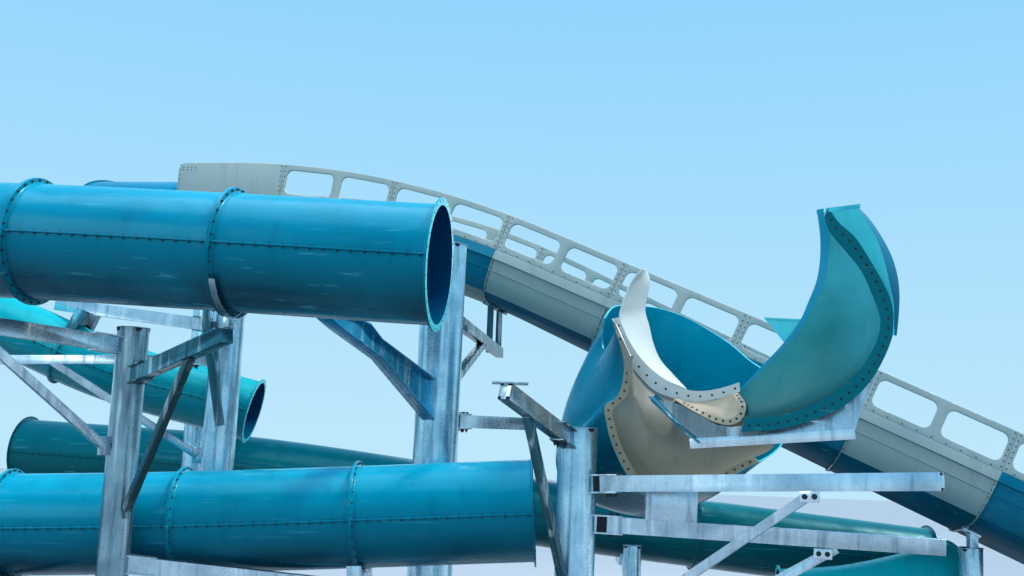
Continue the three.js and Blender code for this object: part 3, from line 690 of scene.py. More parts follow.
class Run:
    """A smooth curve that is read by its length."""

    LEAST_CHORD = 1e-12
    TANGENT_STEP = 1e-4

    def __init__(self, at: Callable[[float], Vector], divisions: int = 400) -> None:
        """Measures the curve.

        Args:
            at: The curve's place at a parameter from 0 to 1.
            divisions: In how many chords it is measured.
        """
        self.at = at
        self.divisions = divisions
        self.lengths = [0.0]
        for here, there in pairwise(at(i / divisions) for i in range(divisions + 1)):
            self.lengths.append(self.lengths[-1] + (there - here).length)

    @property
    def length(self) -> float:
        """The curve's length."""
        return self.lengths[-1]

    def parameter(self, share: float) -> float:
        """The parameter at a share of the length.

        Args:
            share: The share, which is held between 0 and 1.

        Returns:
            The parameter.
        """
        target = min(max(share, 0.0), 1.0) * self.length
        index = min(max(bisect.bisect_right(self.lengths, target) - 1, 0), self.divisions - 1)
        before, after = self.lengths[index], self.lengths[index + 1]
        return (index + (target - before) / max(after - before, self.LEAST_CHORD)) / self.divisions

    def point(self, share: float) -> Vector:
        """The place at a share of the length."""
        return self.at(self.parameter(share))

    def tangent(self, share: float) -> Vector:
        """The direction at a share of the length."""
        middle, step = self.parameter(share), self.TANGENT_STEP
        return (self.at(min(middle + step, 1.0)) - self.at(max(middle - step, 0.0))).normalized()


def smooth_run(points: Outline, divisions: int = 400) -> Run:
    """A centripetal spline through points.

    Args:
        points: The places that it passes, in turn.
        divisions: In how many chords it is measured.

    Returns:
        The measured curve.
    """
    knots = [Vector(p) for p in points]
    knots = [2 * knots[0] - knots[1], *knots, 2 * knots[-1] - knots[-2]]

    def at(t: float) -> Vector:
        """The place on the spline.

        Args:
            t: The parameter, from 0 to 1.

        Returns:
            The place.
        """
        place = t * (len(knots) - 3)
        index = min(int(place), len(knots) - 4)
        weight = place - index
        a, b, c, d = knots[index:index + 4]
        first, middle, last = ((q - p).length ** 0.5 for p, q in ((a, b), (b, c), (c, d)))
        enter = ((b - a) / first - (c - a) / (first + middle) + (c - b) / middle) * middle
        leave = ((c - b) / middle - (d - b) / (middle + last) + (d - c) / last) * middle
        square = -3 * b + 3 * c - 2 * enter - leave
        cube = 2 * b - 2 * c + enter + leave
        return b + enter * weight + square * weight ** 2 + cube * weight ** 3

    return Run(at, divisions)


def crest_run(start: Vector, corner: Vector, end: Vector, reach: float) -> Run:
    """Two straight stretches joined by a curve at a corner.

    Args:
        start: The first end.
        corner: The corner between the two stretches.
        end: The other end.
        reach: How far from the corner the curve starts and ends.

    Returns:
        The measured curve.
    """
    before = corner + (start - corner).normalized() * reach
    after = corner + (end - corner).normalized() * reach

    def bend(t: float) -> Vector:
        """The place on the curve between the two stretches."""
        return before * (1 - t) ** 2 + corner * (2 * t * (1 - t)) + after * t ** 2

    bend_run = Run(bend)
    level, slope = (before - start).length, (end - after).length
    total = level + bend_run.length + slope

    def at(t: float) -> Vector:
        """The place on the whole run.

        Args:
            t: The share of its length, from 0 to 1.

        Returns:
            The place.
        """
        distance = t * total
        if distance < level:
            return start.lerp(before, distance / level)
        if distance > level + bend_run.length:
            return after.lerp(end, (distance - level - bend_run.length) / slope)
        return bend_run.point((distance - level) / bend_run.length)

    return Run(at)


class Track:
    """A run with a frame at every place along it, so that straight meshes can be bent onto it."""

    STATIONS = 240
    HALVINGS = 40

    def __init__(self, run: Run, sections: int, bank: Callable[[float], float] = lambda share: 0.0) -> None:
        """Samples the run.

        Args:
            run: The curve of its middle.
            sections: How many equal sections it has.
            bank: Its roll, in radians, at a share of its length.
        """
        self.sections = sections
        self.length = run.length
        self.section = run.length / sections
        self.frames: list[tuple[Vector, ...]] = []
        for share in spread(0, 1, self.STATIONS):
            tangent = run.tangent(share)
            left = UP.cross(tangent).normalized()
            roll = Matrix.Rotation(bank(share), 3, tangent)
            self.frames.append((run.point(share), tangent, roll @ left, roll @ tangent.cross(left)))

    def frame_at(self, distance: float) -> tuple[Vector, ...]:
        """The frame at a distance along the run, or beyond its ends.

        Args:
            distance: The distance from the run's start.

        Returns:
            The place, the direction, the left and the up.
        """
        place = distance / self.length * self.STATIONS
        index = min(max(int(place), 0), self.STATIONS - 1)
        pairs = zip(self.frames[index], self.frames[index + 1])
        return tuple(near.lerp(far, place - index) for near, far in pairs)

    def point(self, distance: float, across: float, height: float) -> Vector:
        """A place beside the run, across it and above it."""
        origin, _, left, up = self.frame_at(distance)
        return origin + left * across + up * height

    def bend(self, bm: BMesh, start: float) -> BMesh:
        """Bends a mesh made along Z onto the run.

        Args:
            bm: The mesh.
            start: The distance along the run at which its zero lies.

        Returns:
            The same mesh.
        """
        for vert in bm.verts:
            vert.co = self.point(start + vert.co.z, vert.co.x, vert.co.y)
        return bm

    def distance_at_x(self, x: float) -> float:
        """The distance at which the run passes a given X.

        Args:
            x: The X.

        Returns:
            The distance along the run.
        """
        low, high = 0.0, self.length
        for _ in range(self.HALVINGS):
            middle = (low + high) / 2
            if self.point(middle, 0.0, 0.0).x < x:
                low = middle
            else:
                high = middle
        return (low + high) / 2


TROUGH_BANK = math.radians(8)
BANK_FROM = 0.3
BANK_OVER = 0.55


def bank_of(share: float) -> float:
    """The trough's roll, which grows down its slope."""
    eased = min(max((share - BANK_FROM) / BANK_OVER, 0.0), 1.0)
    return -TROUGH_BANK * eased * eased * (3 - 2 * eased)


# The middle of every tube and the trough, by the places that it passes, and its number of sections.
TRACKS = {
    "upper": Track(smooth_run([(-7.05, -3.31, 6.8), (-4.42, -3.65, 6.73), (0.24, -4.26, 6.53)]), 3),
    "lower": Track(smooth_run([(-8.2, -1.06, 3.09), (-3.32, -1.09, 3.32), (1.48, -1.24, 3.66)]), 4),
    "rear": Track(
        smooth_run([(-9.6, 7.65, 3.98), (-4.5, 7.16, 3.78), (1.9, 6.35, 3.13), (9.9, 6.45, 2.4)]), 4,
    ),
    "body": Track(
        smooth_run([(-9.4, 1.9, 6.9), (-7.16, 1.62, 6.11), (-5.63, 1.65, 5.52), (-3.18, 1.74, 4.93)]), 2,
    ),
    "exit": Track(smooth_run([(6.3, 4.15, 1.72), (7.5, 4.0, 1.85), (9.6, 4.3, 2.3)]), 1),
    "trough": Track(
        crest_run(Vector((-8.37, 8.58, 9.68)), Vector((-1.32, 6.7, 9.46)), Vector((12.06, 3.11, 3.15)), 3.5),
        9, bank_of,
    ),
}


# Fastenings


@dataclass(frozen=True)
class BoltSize:
    """A hexagon bolt with its washer, or, where it has no head, a thin disc that shows a hole as painted
    shadow.
    """

    washer: float
    head: float = 0.0
    height: float = 0.0
    washer_thick: float = 0.003
    stub: float = 0.0
    washer_sides: int = 10
    head_taper: float = 0.86
    stub_share: float = 0.5

    def mesh(self) -> BMesh:
        """One bolt that stands on the XY plane and points along Z.

        Returns:
            The new mesh.
        """
        bm = bmesh.new()
        floor = 0.0
        for radius, depth, sides, taper in (
            (self.washer, self.washer_thick, self.washer_sides, 1.0),
            (self.head, self.height, 6, self.head_taper),
            (self.head * self.stub_share, self.stub, 6, 1.0),
        ):
            if depth:
                add_cylinder(bm, Matrix.Translation((0, 0, floor + depth / 2)), radius, depth, sides, taper)
            floor += depth
        return bm


FLANGE_BOLT = BoltSize(washer=0.017, head=0.012, height=0.009)
FLANGE_NUT = BoltSize(washer=0.017, head=0.012, height=0.01, stub=0.014)
RAIL_BOLT = BoltSize(washer=0.013, head=0.009, height=0.007)
STEEL_BOLT = BoltSize(washer=0.034, head=0.026, height=0.022, washer_thick=0.005)
STEEL_NUT = BoltSize(washer=0.034, head=0.026, height=0.024, washer_thick=0.005, stub=0.022)
ANCHOR_NUT = BoltSize(washer=0.042, head=0.032, height=0.03, washer_thick=0.006, stub=0.045)
FLANGE_HOLE_SHADOW = BoltSize(washer=0.013, washer_thick=0.0012)
SHELL_HOLE_SHADOW = BoltSize(washer=0.015, washer_thick=0.0016)


class Fasteners:
    """Collects the bolts, or the painted-shadow discs of holes, of one sub-assembly into one joined piece."""

    def __init__(self, name: str, finish: Finish = BOLT) -> None:
        """Starts an empty set.

        Args:
            name: The piece's name.
            finish: What the fasteners are finished in.
        """
        self.name = name
        self.finish = finish
        self.bm = bmesh.new()
        self.turns = random.Random(name)

    def add(self, size: BoltSize, seat: Vector, out: Vector) -> None:
        """Sets one fastener.

        Args:
            size: Its size.
            seat: Where its washer rests.
            out: The direction that it points in.
        """
        turn = out.to_track_quat("Z", "Y").to_matrix().to_4x4()
        twist = Matrix.Rotation(self.turns.uniform(0, math.pi / 3), 4, "Z")
        single = size.mesh()
        bmesh.ops.transform(single, matrix=Matrix.Translation(seat) @ turn @ twist, verts=single.verts[:])
        pour(single, self.bm)

    def build(self, slot: Slot = Slot.STEEL) -> None:
        """Makes the joined piece."""
        set_piece(self.name, self.bm, [self.finish], slot)


# Enclosed tubes


@dataclass(frozen=True)
class TubeSize:
    """The sizes of an enclosed tube, of its bolting flange and of its half seams."""

    outer: float
    flange: float
    flange_thick: float
    wall: float = 0.014
    sides: int = 72
    fillet: float = 0.03
    edge: float = 0.006
    arc_steps: int = 4
    seam_reach: float = 0.034
    seam_thick: float = 0.02
    seam_round: float = 0.003
    bolt_pitch: float = 0.152
    flange_row: float = 0.58
    seam_row: float = 0.55
    seam_margin: float = 0.08

    @property
    def rim(self) -> float:
        """The flange's outer radius."""
        return self.outer + self.flange

    @property
    def inner(self) -> float:
        """The bore's radius."""
        return self.outer - self.wall


RAFT_TUBE = TubeSize(outer=0.69, flange=0.07, flange_thick=0.022)
BODY_TUBE = TubeSize(outer=0.5, flange=0.055, flange_thick=0.02, sides=56, fillet=0.022)


@dataclass
class TubeRun:
    """A run of flanged tube sections with seams at mid-height, bolted end to end."""

    prefix: str
    size: TubeSize
    track: Track
    finish: Gelcoat
    slot: Slot
    rings: int = 10
    margin: float = 0.001

    def profile(self, length: float) -> list[Point]:
        """The section's closed profile.

        Args:
            length: The section's length.

        Returns:
            The radius and the distance along of each corner in turn.
        """
        size = self.size
        thick, edge, fillet = size.flange_thick, size.edge, size.fillet
        rounds = (
            (size.rim - edge, edge, edge, -90, 0),
            (size.rim - edge, thick - edge, edge, 0, 90),
            (size.outer + fillet, thick + fillet, fillet, 270, 180),
        )
        flange = [
            (radius + x, along + y) for radius, along, reach, first, last in rounds
            for x, y in circle_points(reach, reach, spread(first, last, size.arc_steps))
        ]
        mirrored = [(radius, length - along) for radius, along in reversed(flange)]
        outer = spread(thick + fillet, length - thick - fillet, self.rings)[1:-1]
        inner = reversed(spread(0, length, self.rings)[1:])
        return [
            (size.inner, 0.0), *flange, *((size.outer, along) for along in outer),
            *mirrored, *((size.inner, along) for along in inner),
        ]

    def section(self, index: int) -> None:
        """Makes one section as a turned shell and bends it onto the run.

        Args:
            index: The section's number, from 0.
        """
        length = self.track.section - TOUCH_GAP
        last = self.track.sections - 1
        bm = bmesh.new()
        verts = [bm.verts.new((radius, 0.0, along)) for radius, along in self.profile(length)]
        loop = [bm.edges.new(pair) for pair in pairwise([*verts, verts[0]])]
        bmesh.ops.spin(
            bm, geom=[*verts, *loop], cent=(0, 0, 0), axis=(0, 0, 1), angle=math.tau,
            steps=self.size.sides, use_merge=True,
        )
        bmesh.ops.recalc_face_normals(bm, faces=bm.faces[:])
        for face in bm.faces:
            middle = face.calc_center_median()
            opens_run = index == 0 and middle.z < self.margin
            ends_run = index == last and middle.z > length - self.margin
            if middle.xy.length < self.size.inner + 2 * self.margin:
                face.material_index = 1
            # The open ends' faces take the aqua finish as a painted highlight.
            elif opens_run or ends_run:
                face.material_index = 2
        self.track.bend(bm, index * self.track.section + TOUCH_GAP / 2)
        node = f"{self.prefix}_{index + 1}"
        set_piece(f"{node}_shell", bm, [self.finish, BORE, AQUA_AND_RIM_HIGHLIGHT], self.slot, [node])

    def seams(self) -> None:
        """Makes the bolted lips where the upper and lower halves of each section meet."""
        size, parts = self.size, []
        low, high, half = size.inner, size.outer + size.seam_reach, size.seam_thick / 2
        stations = spread(size.flange_thick, self.track.section - size.flange_thick, self.rings)
        for index in range(self.track.sections):
            for side in (-1, 1):
                corners = [
                    (side * low, -half), (side * high, -half, size.seam_round),
                    (side * high, half, size.seam_round), (side * low, half),
                ]
                bar = prism(corners[::side], stations, 2)
                parts.append(self.track.bend(bar, index * self.track.section))
        set_piece(f"{self.prefix}_half_seams", join(parts), [self.finish], self.slot)

    def fasten_flanges(self, bolts: Fasteners, holes: Fasteners) -> None:
        """Bolts the flanges, and marks holes on the two open end flanges with dark discs of painted shadow.

        Args:
            bolts: Takes the bolts and nuts.
            holes: Takes the painted-shadow discs of the holes.
        """
        size, track = self.size, self.track
        circle = size.outer + size.flange * size.flange_row
        count = round(math.tau * circle / size.bolt_pitch)
        for joint in range(track.sections + 1):
            distance = joint * track.section
            _, tangent, _, _ = track.frame_at(distance)
            for number in range(count):
                angle = math.tau * (number + 0.5) / count
                across, height = circle * math.cos(angle), circle * math.sin(angle)
                if joint in (0, track.sections):
                    way = 1 if joint else -1
                    face = track.point(distance, across, height)
                    back = track.point(distance - way * size.flange_thick, across, height)
                    holes.add(FLANGE_HOLE_SHADOW, face - tangent * way * TOUCH_GAP / 2, tangent * way)
                    holes.add(FLANGE_HOLE_SHADOW, back, tangent * -way)
                    continue
                bolts.add(FLANGE_BOLT, track.point(distance - size.flange_thick, across, height), -tangent)
                bolts.add(FLANGE_NUT, track.point(distance + size.flange_thick, across, height), tangent)

    def fasten_seams(self, bolts: Fasteners) -> None:
        """Bolts the half seams.

        Args:
            bolts: Takes the bolts and nuts.
        """
        size, track = self.size, self.track
        row = size.outer + size.seam_reach * size.seam_row
        spaces = round((track.section - 2 * size.seam_margin) / size.bolt_pitch)
        for index in range(track.sections):
            for place in spread(size.seam_margin, track.section - size.seam_margin, spaces):
                distance = index * track.section + place
                _, _, _, up = track.frame_at(distance)
                for side in (-1, 1):
                    bolts.add(RAIL_BOLT, track.point(distance, side * row, size.seam_thick / 2), up)
                    bolts.add(FLANGE_NUT, track.point(distance, side * row, -size.seam_thick / 2), -up)

    def build(self) -> None:
        """Makes the run's sections, seams and fastenings."""
        for index in range(self.track.sections):
            self.section(index)
        self.seams()
        bolts = Fasteners(f"{self.prefix}_bolts")
        holes = Fasteners(f"{self.prefix}_end_holes", SHADOW)
        self.fasten_flanges(bolts, holes)
        self.fasten_seams(bolts)
        bolts.build()
        holes.build(self.slot)


# The raft trough, its hood and its guard rails


class Coat(Enum):
    """The two colours of the trough's sections: their wall, their underside and their slot."""

    BLUE = (BLUE, UNDER_BLUE, Slot.BLUE)
    CREAM = (CREAM, UNDER_CREAM, Slot.CREAM)


def coats(names: str) -> tuple[Coat, ...]:
    """The colours that a line of words names."""
    return tuple(Coat[name] for name in names.split())


@dataclass
class RaftTrough:
    """An open raft trough of nine moulded sections, with a hood over the first."""

    track: Track
    half_width: float = 1.5
    band_thick: float = 0.06
    band_height: float = 0.19
    band_rounds: Pair = (0.012, 0.016)
    wall: float = 0.018
    rib_reach: float = 0.032
    rib_thick: float = 0.016
    rib_row: float = 0.55
    rib_pitch: float = 0.15
    least_side: float = 0.05
    crease: float = math.radians(15)
    crease_round: float = 0.006
    least_run: float = 0.01
    hood_rise: float = 0.65
    hood_skin: float = 0.016
    hood_drop: float = 0.04
    hood_ring: Pair = (0.05, 0.02)
    stations: int = 14
    walls: tuple[Coat, ...] = coats("BLUE BLUE CREAM BLUE CREAM CREAM BLUE CREAM BLUE")
    bottoms: tuple[Coat, ...] = coats("BLUE BLUE CREAM CREAM BLUE BLUE BLUE BLUE BLUE")
    bottom_half: float = 1.21
    bottom_level: float = -0.82
    outside: tuple[Point, ...] = (
        (1.5, -0.19), (1.458, -0.42), (1.444, -0.427), (1.41, -0.54), (1.322, -0.686),
        (1.2, -0.83), (0.95, -0.935), (0.6, -0.98),
    )

    def whole_outside(self) -> list[Point]:
        """The outer face, from the right rim over the bottom to the left rim."""
        return [*self.outside, *((-x, y) for x, y in reversed(self.outside))]

    def inside(self) -> list[Point]:
        """The inner face's right half, from the rim down to the bottom."""
        step = self.wall
        return [
            (self.half_width - step, 0.0), (1.452 - step, -0.365), (1.41 - step, -0.537),
            (1.316 - step, -0.676), (1.2 - step * 0.8, -0.819), (0.95, -0.935 + step), (0.6, -0.98 + step),
        ]

    def outline(self) -> list[Sequence[float]]:
        """The whole section's closed outline.

        Returns:
            Its corners, with a radius where they are rounded.
        """
        rim = self.half_width + self.band_thick
        upper, lower = self.band_rounds
        right = [(rim, 0.0, upper), (rim, -self.band_height, lower), *self.outside]
        left = [(-x, *rest) for x, *rest in reversed(right)]
        inner = self.inside()
        return [*right, *left, *((-x, y) for x, y in inner), *reversed(inner)]

    def rib(self) -> list[Point]:
        """The bolting rib's closed outline, which follows the walls and the bottom.

        Returns:
            Its corners.
        """
        walls = self.whole_outside()
        raised = []
        for index, (x, y) in enumerate(walls):
            before, after = walls[max(index - 1, 0)], walls[min(index + 1, len(walls) - 1)]
            along = Vector((after[0] - before[0], after[1] - before[1])).normalized()
            raised.append((x - along.y * self.rib_reach, y + along.x * self.rib_reach))
        return [*walls, *reversed(raised)]

    def section(self, index: int) -> None:
        """Makes one trough section with a bolting rib at each end.

        Args:
            index: The section's number, from 0.
        """
        length = self.track.section - TOUCH_GAP
        thick = self.rib_thick
        parts = [
            prism(self.outline(), spread(0, length, self.stations)),
            prism(self.rib(), [0, thick]),
            prism(self.rib(), [length - thick, length]),
        ]
        for face in parts[0].faces:
            middle = face.calc_center_median()
            if abs(middle.x) < self.bottom_half and middle.y < self.bottom_level:
                face.material_index = 1 if face.normal.y < 0 else 2
        round_off(parts[0], [e for e in parts[0].edges if self.is_crease(e)], self.crease_round)
        bm = self.track.bend(join(parts), index * self.track.section + TOUCH_GAP / 2)
        wall, _, slot = self.walls[index].value
        lane, bottom, _ = self.bottoms[index].value
        node = f"trough_section_{index + 1}"
        set_piece(f"{node}_shell", bm, [wall, bottom, lane], slot, [node])

    def is_crease(self, edge: BMEdge) -> bool:
        """Whether an edge runs along the section where two of its faces meet sharply."""
        first, second = edge.verts
        return abs(first.co.z - second.co.z) > self.least_run and edge.calc_face_angle(0) > self.crease

    def arch(self, drop: float) -> list[Point]:
        """A half ellipse over the trough, at a depth under the hood's outermost line."""
        half = self.half_width + self.band_thick - drop
        points = circle_points(half, self.hood_rise - drop, spread(0, 180, 40))
        return [(x, TOUCH_GAP + y) for x, y in points]

    def hood(self) -> None:
        """Makes the arched hood over the first section, with a flange ring at each end."""
        length = self.track.section - TOUCH_GAP
        deep, thick = self.hood_ring
        shells = (
            (self.hood_drop, self.hood_skin, spread(0, length, self.stations)),
            (0.0, deep, [0, thick]),
            (0.0, deep, [length - thick, length]),
        )
        parts = [
            prism([*self.arch(drop), *reversed(self.arch(drop + wall))], stations)
            for drop, wall, stations in shells
        ]
        bm = self.track.bend(join(parts), TOUCH_GAP / 2)
        set_piece("trough_hood_shell", bm, [BLUE], Slot.BLUE, ["trough_hood"])

    def fasten(self) -> None:
        """Bolts the ribs of the sections together, along the walls and the bottom."""
        bolts = Fasteners("trough_rib_bolts")
        for joint in range(1, self.track.sections):
            distance = joint * self.track.section
            _, tangent, _, _ = self.track.frame_at(distance)
            for (x, y), (u, v) in pairwise(self.whole_outside()):
                side = Vector((u - x, v - y))
                if side.length < self.least_side:
                    continue
                out = Vector((-side.y, side.x)).normalized() * self.rib_reach * self.rib_row
                count = max(1, round(side.length / self.rib_pitch))
                for share in ((i + 0.5) / count for i in range(count)):
                    across, height = x + side.x * share + out.x, y + side.y * share + out.y
                    for way, size in ((-1, FLANGE_BOLT), (1, FLANGE_NUT)):
                        seat = self.track.point(distance + way * self.rib_thick, across, height)
                        bolts.add(size, seat, tangent * way)
        bolts.build()

    def build(self) -> None:
        """Makes the trough's sections, hood and bolts."""
        for index in range(self.track.sections):
            self.section(index)
        self.hood()
        self.fasten()


@dataclass
class GuardRail:
    """A moulded guard rail on one rim of the trough: panels of two bays with rounded windows."""

    track: Track
    side: Side
    height: float = 0.76
    thick: float = 0.044
    post: float = 0.19
    top_band: float = 0.12
    sill: float = 0.13
    corner: float = 0.13
    first_corner: float = 0.17
    first_cuts: int = 12
    merge: float = 1e-5
    edge: float = 0.011
    centre: float = 1.53
    joint_gap: float = 0.004
    arc_segments: int = 6
    runs: tuple[tuple[int, int], ...] = ((1, 3), (4, 3), (7, 2))
    post_row: float = 0.045
    post_heights: tuple[float, float, int] = (0.07, 0.05, 6)
    sill_row: tuple[float, float, int] = (0.035, 0.2, 8)
    cluster: tuple[Point, ...] = tuple((0.12 + 0.1 * i, 0.1 + 0.06 * j) for i in range(4) for j in range(2))

    def window(self, bm: BMesh, start: float, end: float) -> list[BMEdge]:
        """Draws a bay's rounded window in the plane across X.

        Args:
            bm: The empty mesh to draw in.
            start: Where the bay starts.
            end: Where it ends.

        Returns:
            The window's edges.
        """
        low, high = self.sill, self.height - self.top_band
        near, far = start + self.post / 2, end - self.post / 2
        corners = [(y, z, self.corner) for y, z in ((low, near), (high, near), (high, far), (low, far))]
        edges = rounded_loop(bm, corners, self.arc_segments)
        for vert in bm.verts:
            vert.co = (0.0, vert.co.x, vert.co.y)
        return edges

    def outer_corners(self, bm: BMesh, start: float, end: float) -> list[BMVert]:
        """The four corners of a bay or a panel, from its lower start round to its lower end."""
        places = ((0.0, start), (self.height, start), (self.height, end), (0.0, end))
        return [bm.verts.new((0.0, y, z)) for y, z in places]

    def bay(self, start: float, end: float) -> BMesh:
        """One flat bay with its window.

        Args:
            start: Where it starts.
            end: Where it ends.

        Returns:
            The new mesh.
        """
        bm = bmesh.new()
        window = self.window(bm, start, end)
        verts = self.outer_corners(bm, start, end)
        sides = [bm.edges.new(pair) for pair in pairwise([*verts, verts[0]])]
        bmesh.ops.subdivide_edges(bm, edges=sides, cuts=self.arc_segments)
        outer = [edge for edge in bm.edges if edge not in window]
        bmesh.ops.bridge_loops(bm, edges=[*outer, *window])
        return bm

    def windowed_panel(self, length: float) -> BMesh:
        """A flat panel with two windows.

        Args:
            length: Its length.

        Returns:
            The new mesh.
        """
        half = length / 2
        bm = join([self.bay(0.0, half), self.bay(half, length)])
        bmesh.ops.remove_doubles(bm, verts=bm.verts[:], dist=self.merge)
        return bm

    def closed_panel(self, length: float) -> BMesh:
        """The flat first panel, closed and rounded at its upper start.

        Args:
            length: Its length.

        Returns:
            The new mesh.
        """
        bm = bmesh.new()
        verts = self.outer_corners(bm, 0.0, length)
        bm.faces.new(verts)
        round_off(bm, [verts[1]], self.first_corner, 8, "VERTICES")
        for place in spread(0.0, length, self.first_cuts)[1:-1]:
            cut_level(bm, place)
        return bm

    def panel(self, section: int) -> BMesh:
        """One panel with its thickness and rounded edges, bent onto the rim.

        Args:
            section: The number of the trough section below it, from 0.

        Returns:
            The new mesh.
        """
        length = self.track.section - self.joint_gap
        bm = self.closed_panel(length) if section == 1 else self.windowed_panel(length)
        grown = bmesh.ops.extrude_face_region(bm, geom=bm.faces[:], use_keep_orig=True)["geom"]
        moved = [item for item in grown if isinstance(item, BMVert)]
        bmesh.ops.translate(bm, verts=moved, vec=(self.thick, 0, 0))
        bmesh.ops.recalc_face_normals(bm, faces=bm.faces[:])
        round_off(bm, sharp_edges(bm), self.edge, 3)
        across = self.side.value * self.centre - self.thick / 2
        bmesh.ops.translate(bm, verts=bm.verts[:], vec=(across, TOUCH_GAP, 0))
        return self.track.bend(bm, section * self.track.section + self.joint_gap / 2)

    def fasten(self) -> None:
        """Bolts the panels to each other at the joint posts and to the rim along the sill."""
        bolts = Fasteners(f"{self.side.name.lower()}_guard_rail_bolts")
        lowest, below_top, rows = self.post_heights
        heights = spread(lowest, self.height - below_top, rows)
        sill, margin, spaces = self.sill_row
        sections = [first + i for first, count in self.runs for i in range(count)]
        for section in sections:
            start, length = section * self.track.section, self.track.section
            places = [(way, height) for way in (self.post_row, length - self.post_row) for height in heights]
            places += [(along, sill) for along in spread(margin, length - margin, spaces)]
            if section == sections[0]:
                places += [(along, self.height - drop) for along, drop in self.cluster]
            for along, height in places:
                _, _, left, _ = self.track.frame_at(start + along)
                for way in (-1, 1):
                    across = self.side.value * self.centre + way * self.thick / 2
                    bolts.add(RAIL_BOLT, self.track.point(start + along, across, height), left * way)
        bolts.build(Slot.CREAM)

    def build(self) -> None:
        """Makes the rail's three runs and its bolts."""
        prefix = f"{self.side.name.lower()}_guard_rail"
        for number, (first, count) in enumerate(self.runs, 1):
            bm = join(self.panel(first + i) for i in range(count))
            set_piece(f"{prefix}_panels_{number}", bm, [CREAM], Slot.CREAM, [f"{prefix}_{number}"])
        self.fasten()


# Steelwork


@dataclass
class TubeSaddle:
    """A shoe with a curved strap that carries a tube from below."""

    name: str
    track: Track
    distance: float
    seat: float
    drop: float
    finish: Galvanised = SHADED_STEEL
    width: float = 0.16
    strap: float = 0.014
    strap_from: float = 212.0
    strap_to: float = 306.0
    shoe_half: float = 9.0
    steps: int = 18

    def arc(self, radius: float, first: float, last: float) -> list[Point]:
        """Places on a circle round the tube, from one angle to another."""
        return circle_points(radius, radius, spread(first, last, self.steps))

    def build(self) -> None:
        """Makes the shoe and its strap."""
        low = self.seat + TOUCH_GAP
        shoe = self.arc(low, 270 - self.shoe_half, 270 + self.shoe_half)
        shoe += [(shoe[-1][0], -self.drop), (shoe[0][0], -self.drop)]
        strap = self.arc(low, self.strap_from, self.strap_to)
        strap += reversed(self.arc(low + self.strap, self.strap_from, self.strap_to))
        parts = [prism(outline, spread(0, self.width, 2)) for outline in (shoe, strap)]
        for part in parts:
            round_off(part, sharp_edges(part), PLATE_ROUND)
        bm = self.track.bend(join(parts), self.distance - self.width / 2)
        set_piece(self.name, bm, [self.finish], Slot.STEEL)


@dataclass
class Haunch:
    """The tapered plate girder that carries the upper tube from the main column."""

    heading: Vector = field(default_factory=lambda: Vector((-0.3203, -0.9473, 0.0)))
    top: tuple[Point, ...] = ((0.32, 5.46), (2.233, 5.868), (2.6, 6.03), (3.62, 6.1))
    nose: Point = (3.84, 6.058)
    bottom: tuple[Point, ...] = ((0.32, 4.85), (2.147, 5.601), (3.35, 5.87), (3.72, 5.975))
    web_thick: float = 0.014
    flange_thick: float = 0.02
    flange_width: float = 0.2

    def flange(self, line: Sequence[Point], lift: float) -> BMesh:
        """One flange plate that follows an edge of the web.

        Args:
            line: The edge's corners.
            lift: The plate's thickness, above the edge or below it.

        Returns:
            The new mesh.
        """
        outline = [*line, *((x, y + lift) for x, y in reversed(line))]
        half = self.flange_width / 2
        plate = prism(outline, [-half, half])
        round_off(plate, sharp_edges(plate), PLATE_ROUND)
        return plate

    def build(self) -> None:
        """Makes the girder."""
        half = self.web_thick / 2
        parts = [
            prism([*self.bottom, self.nose, *reversed(self.top)], [-half, half]),
            self.flange(self.top, -self.flange_thick),
            self.flange(self.bottom, self.flange_thick),
        ]
        bm = upright(join(parts), Vector((0.0, 0.0, 0.0)), self.heading)
        set_piece("main_column_haunch_girder", bm, [SHADED_BLUE_STEEL], Slot.STEEL, ["main_column_tube_haunch"])


JOINT_SADDLE_OFFSET = 0.06
OUTER_SADDLE_X = -5.45


def dress_tubes() -> None:
    """Sets the saddles under the upper tube."""
    upper, rim, outer = TRACKS["upper"], RAFT_TUBE.rim, RAFT_TUBE.outer
    TubeSaddle(
        "left_column_tube_saddle", upper, 2 * upper.section + JOINT_SADDLE_OFFSET, seat=rim, drop=rim + 0.12,
        finish=STEEL, width=0.075, strap=0.01,
    ).build()
    TubeSaddle(
        "left_column_outer_saddle", upper, upper.distance_at_x(OUTER_SADDLE_X), seat=outer,
        drop=outer + 0.23, strap_from=252, strap_to=288,
    ).build()


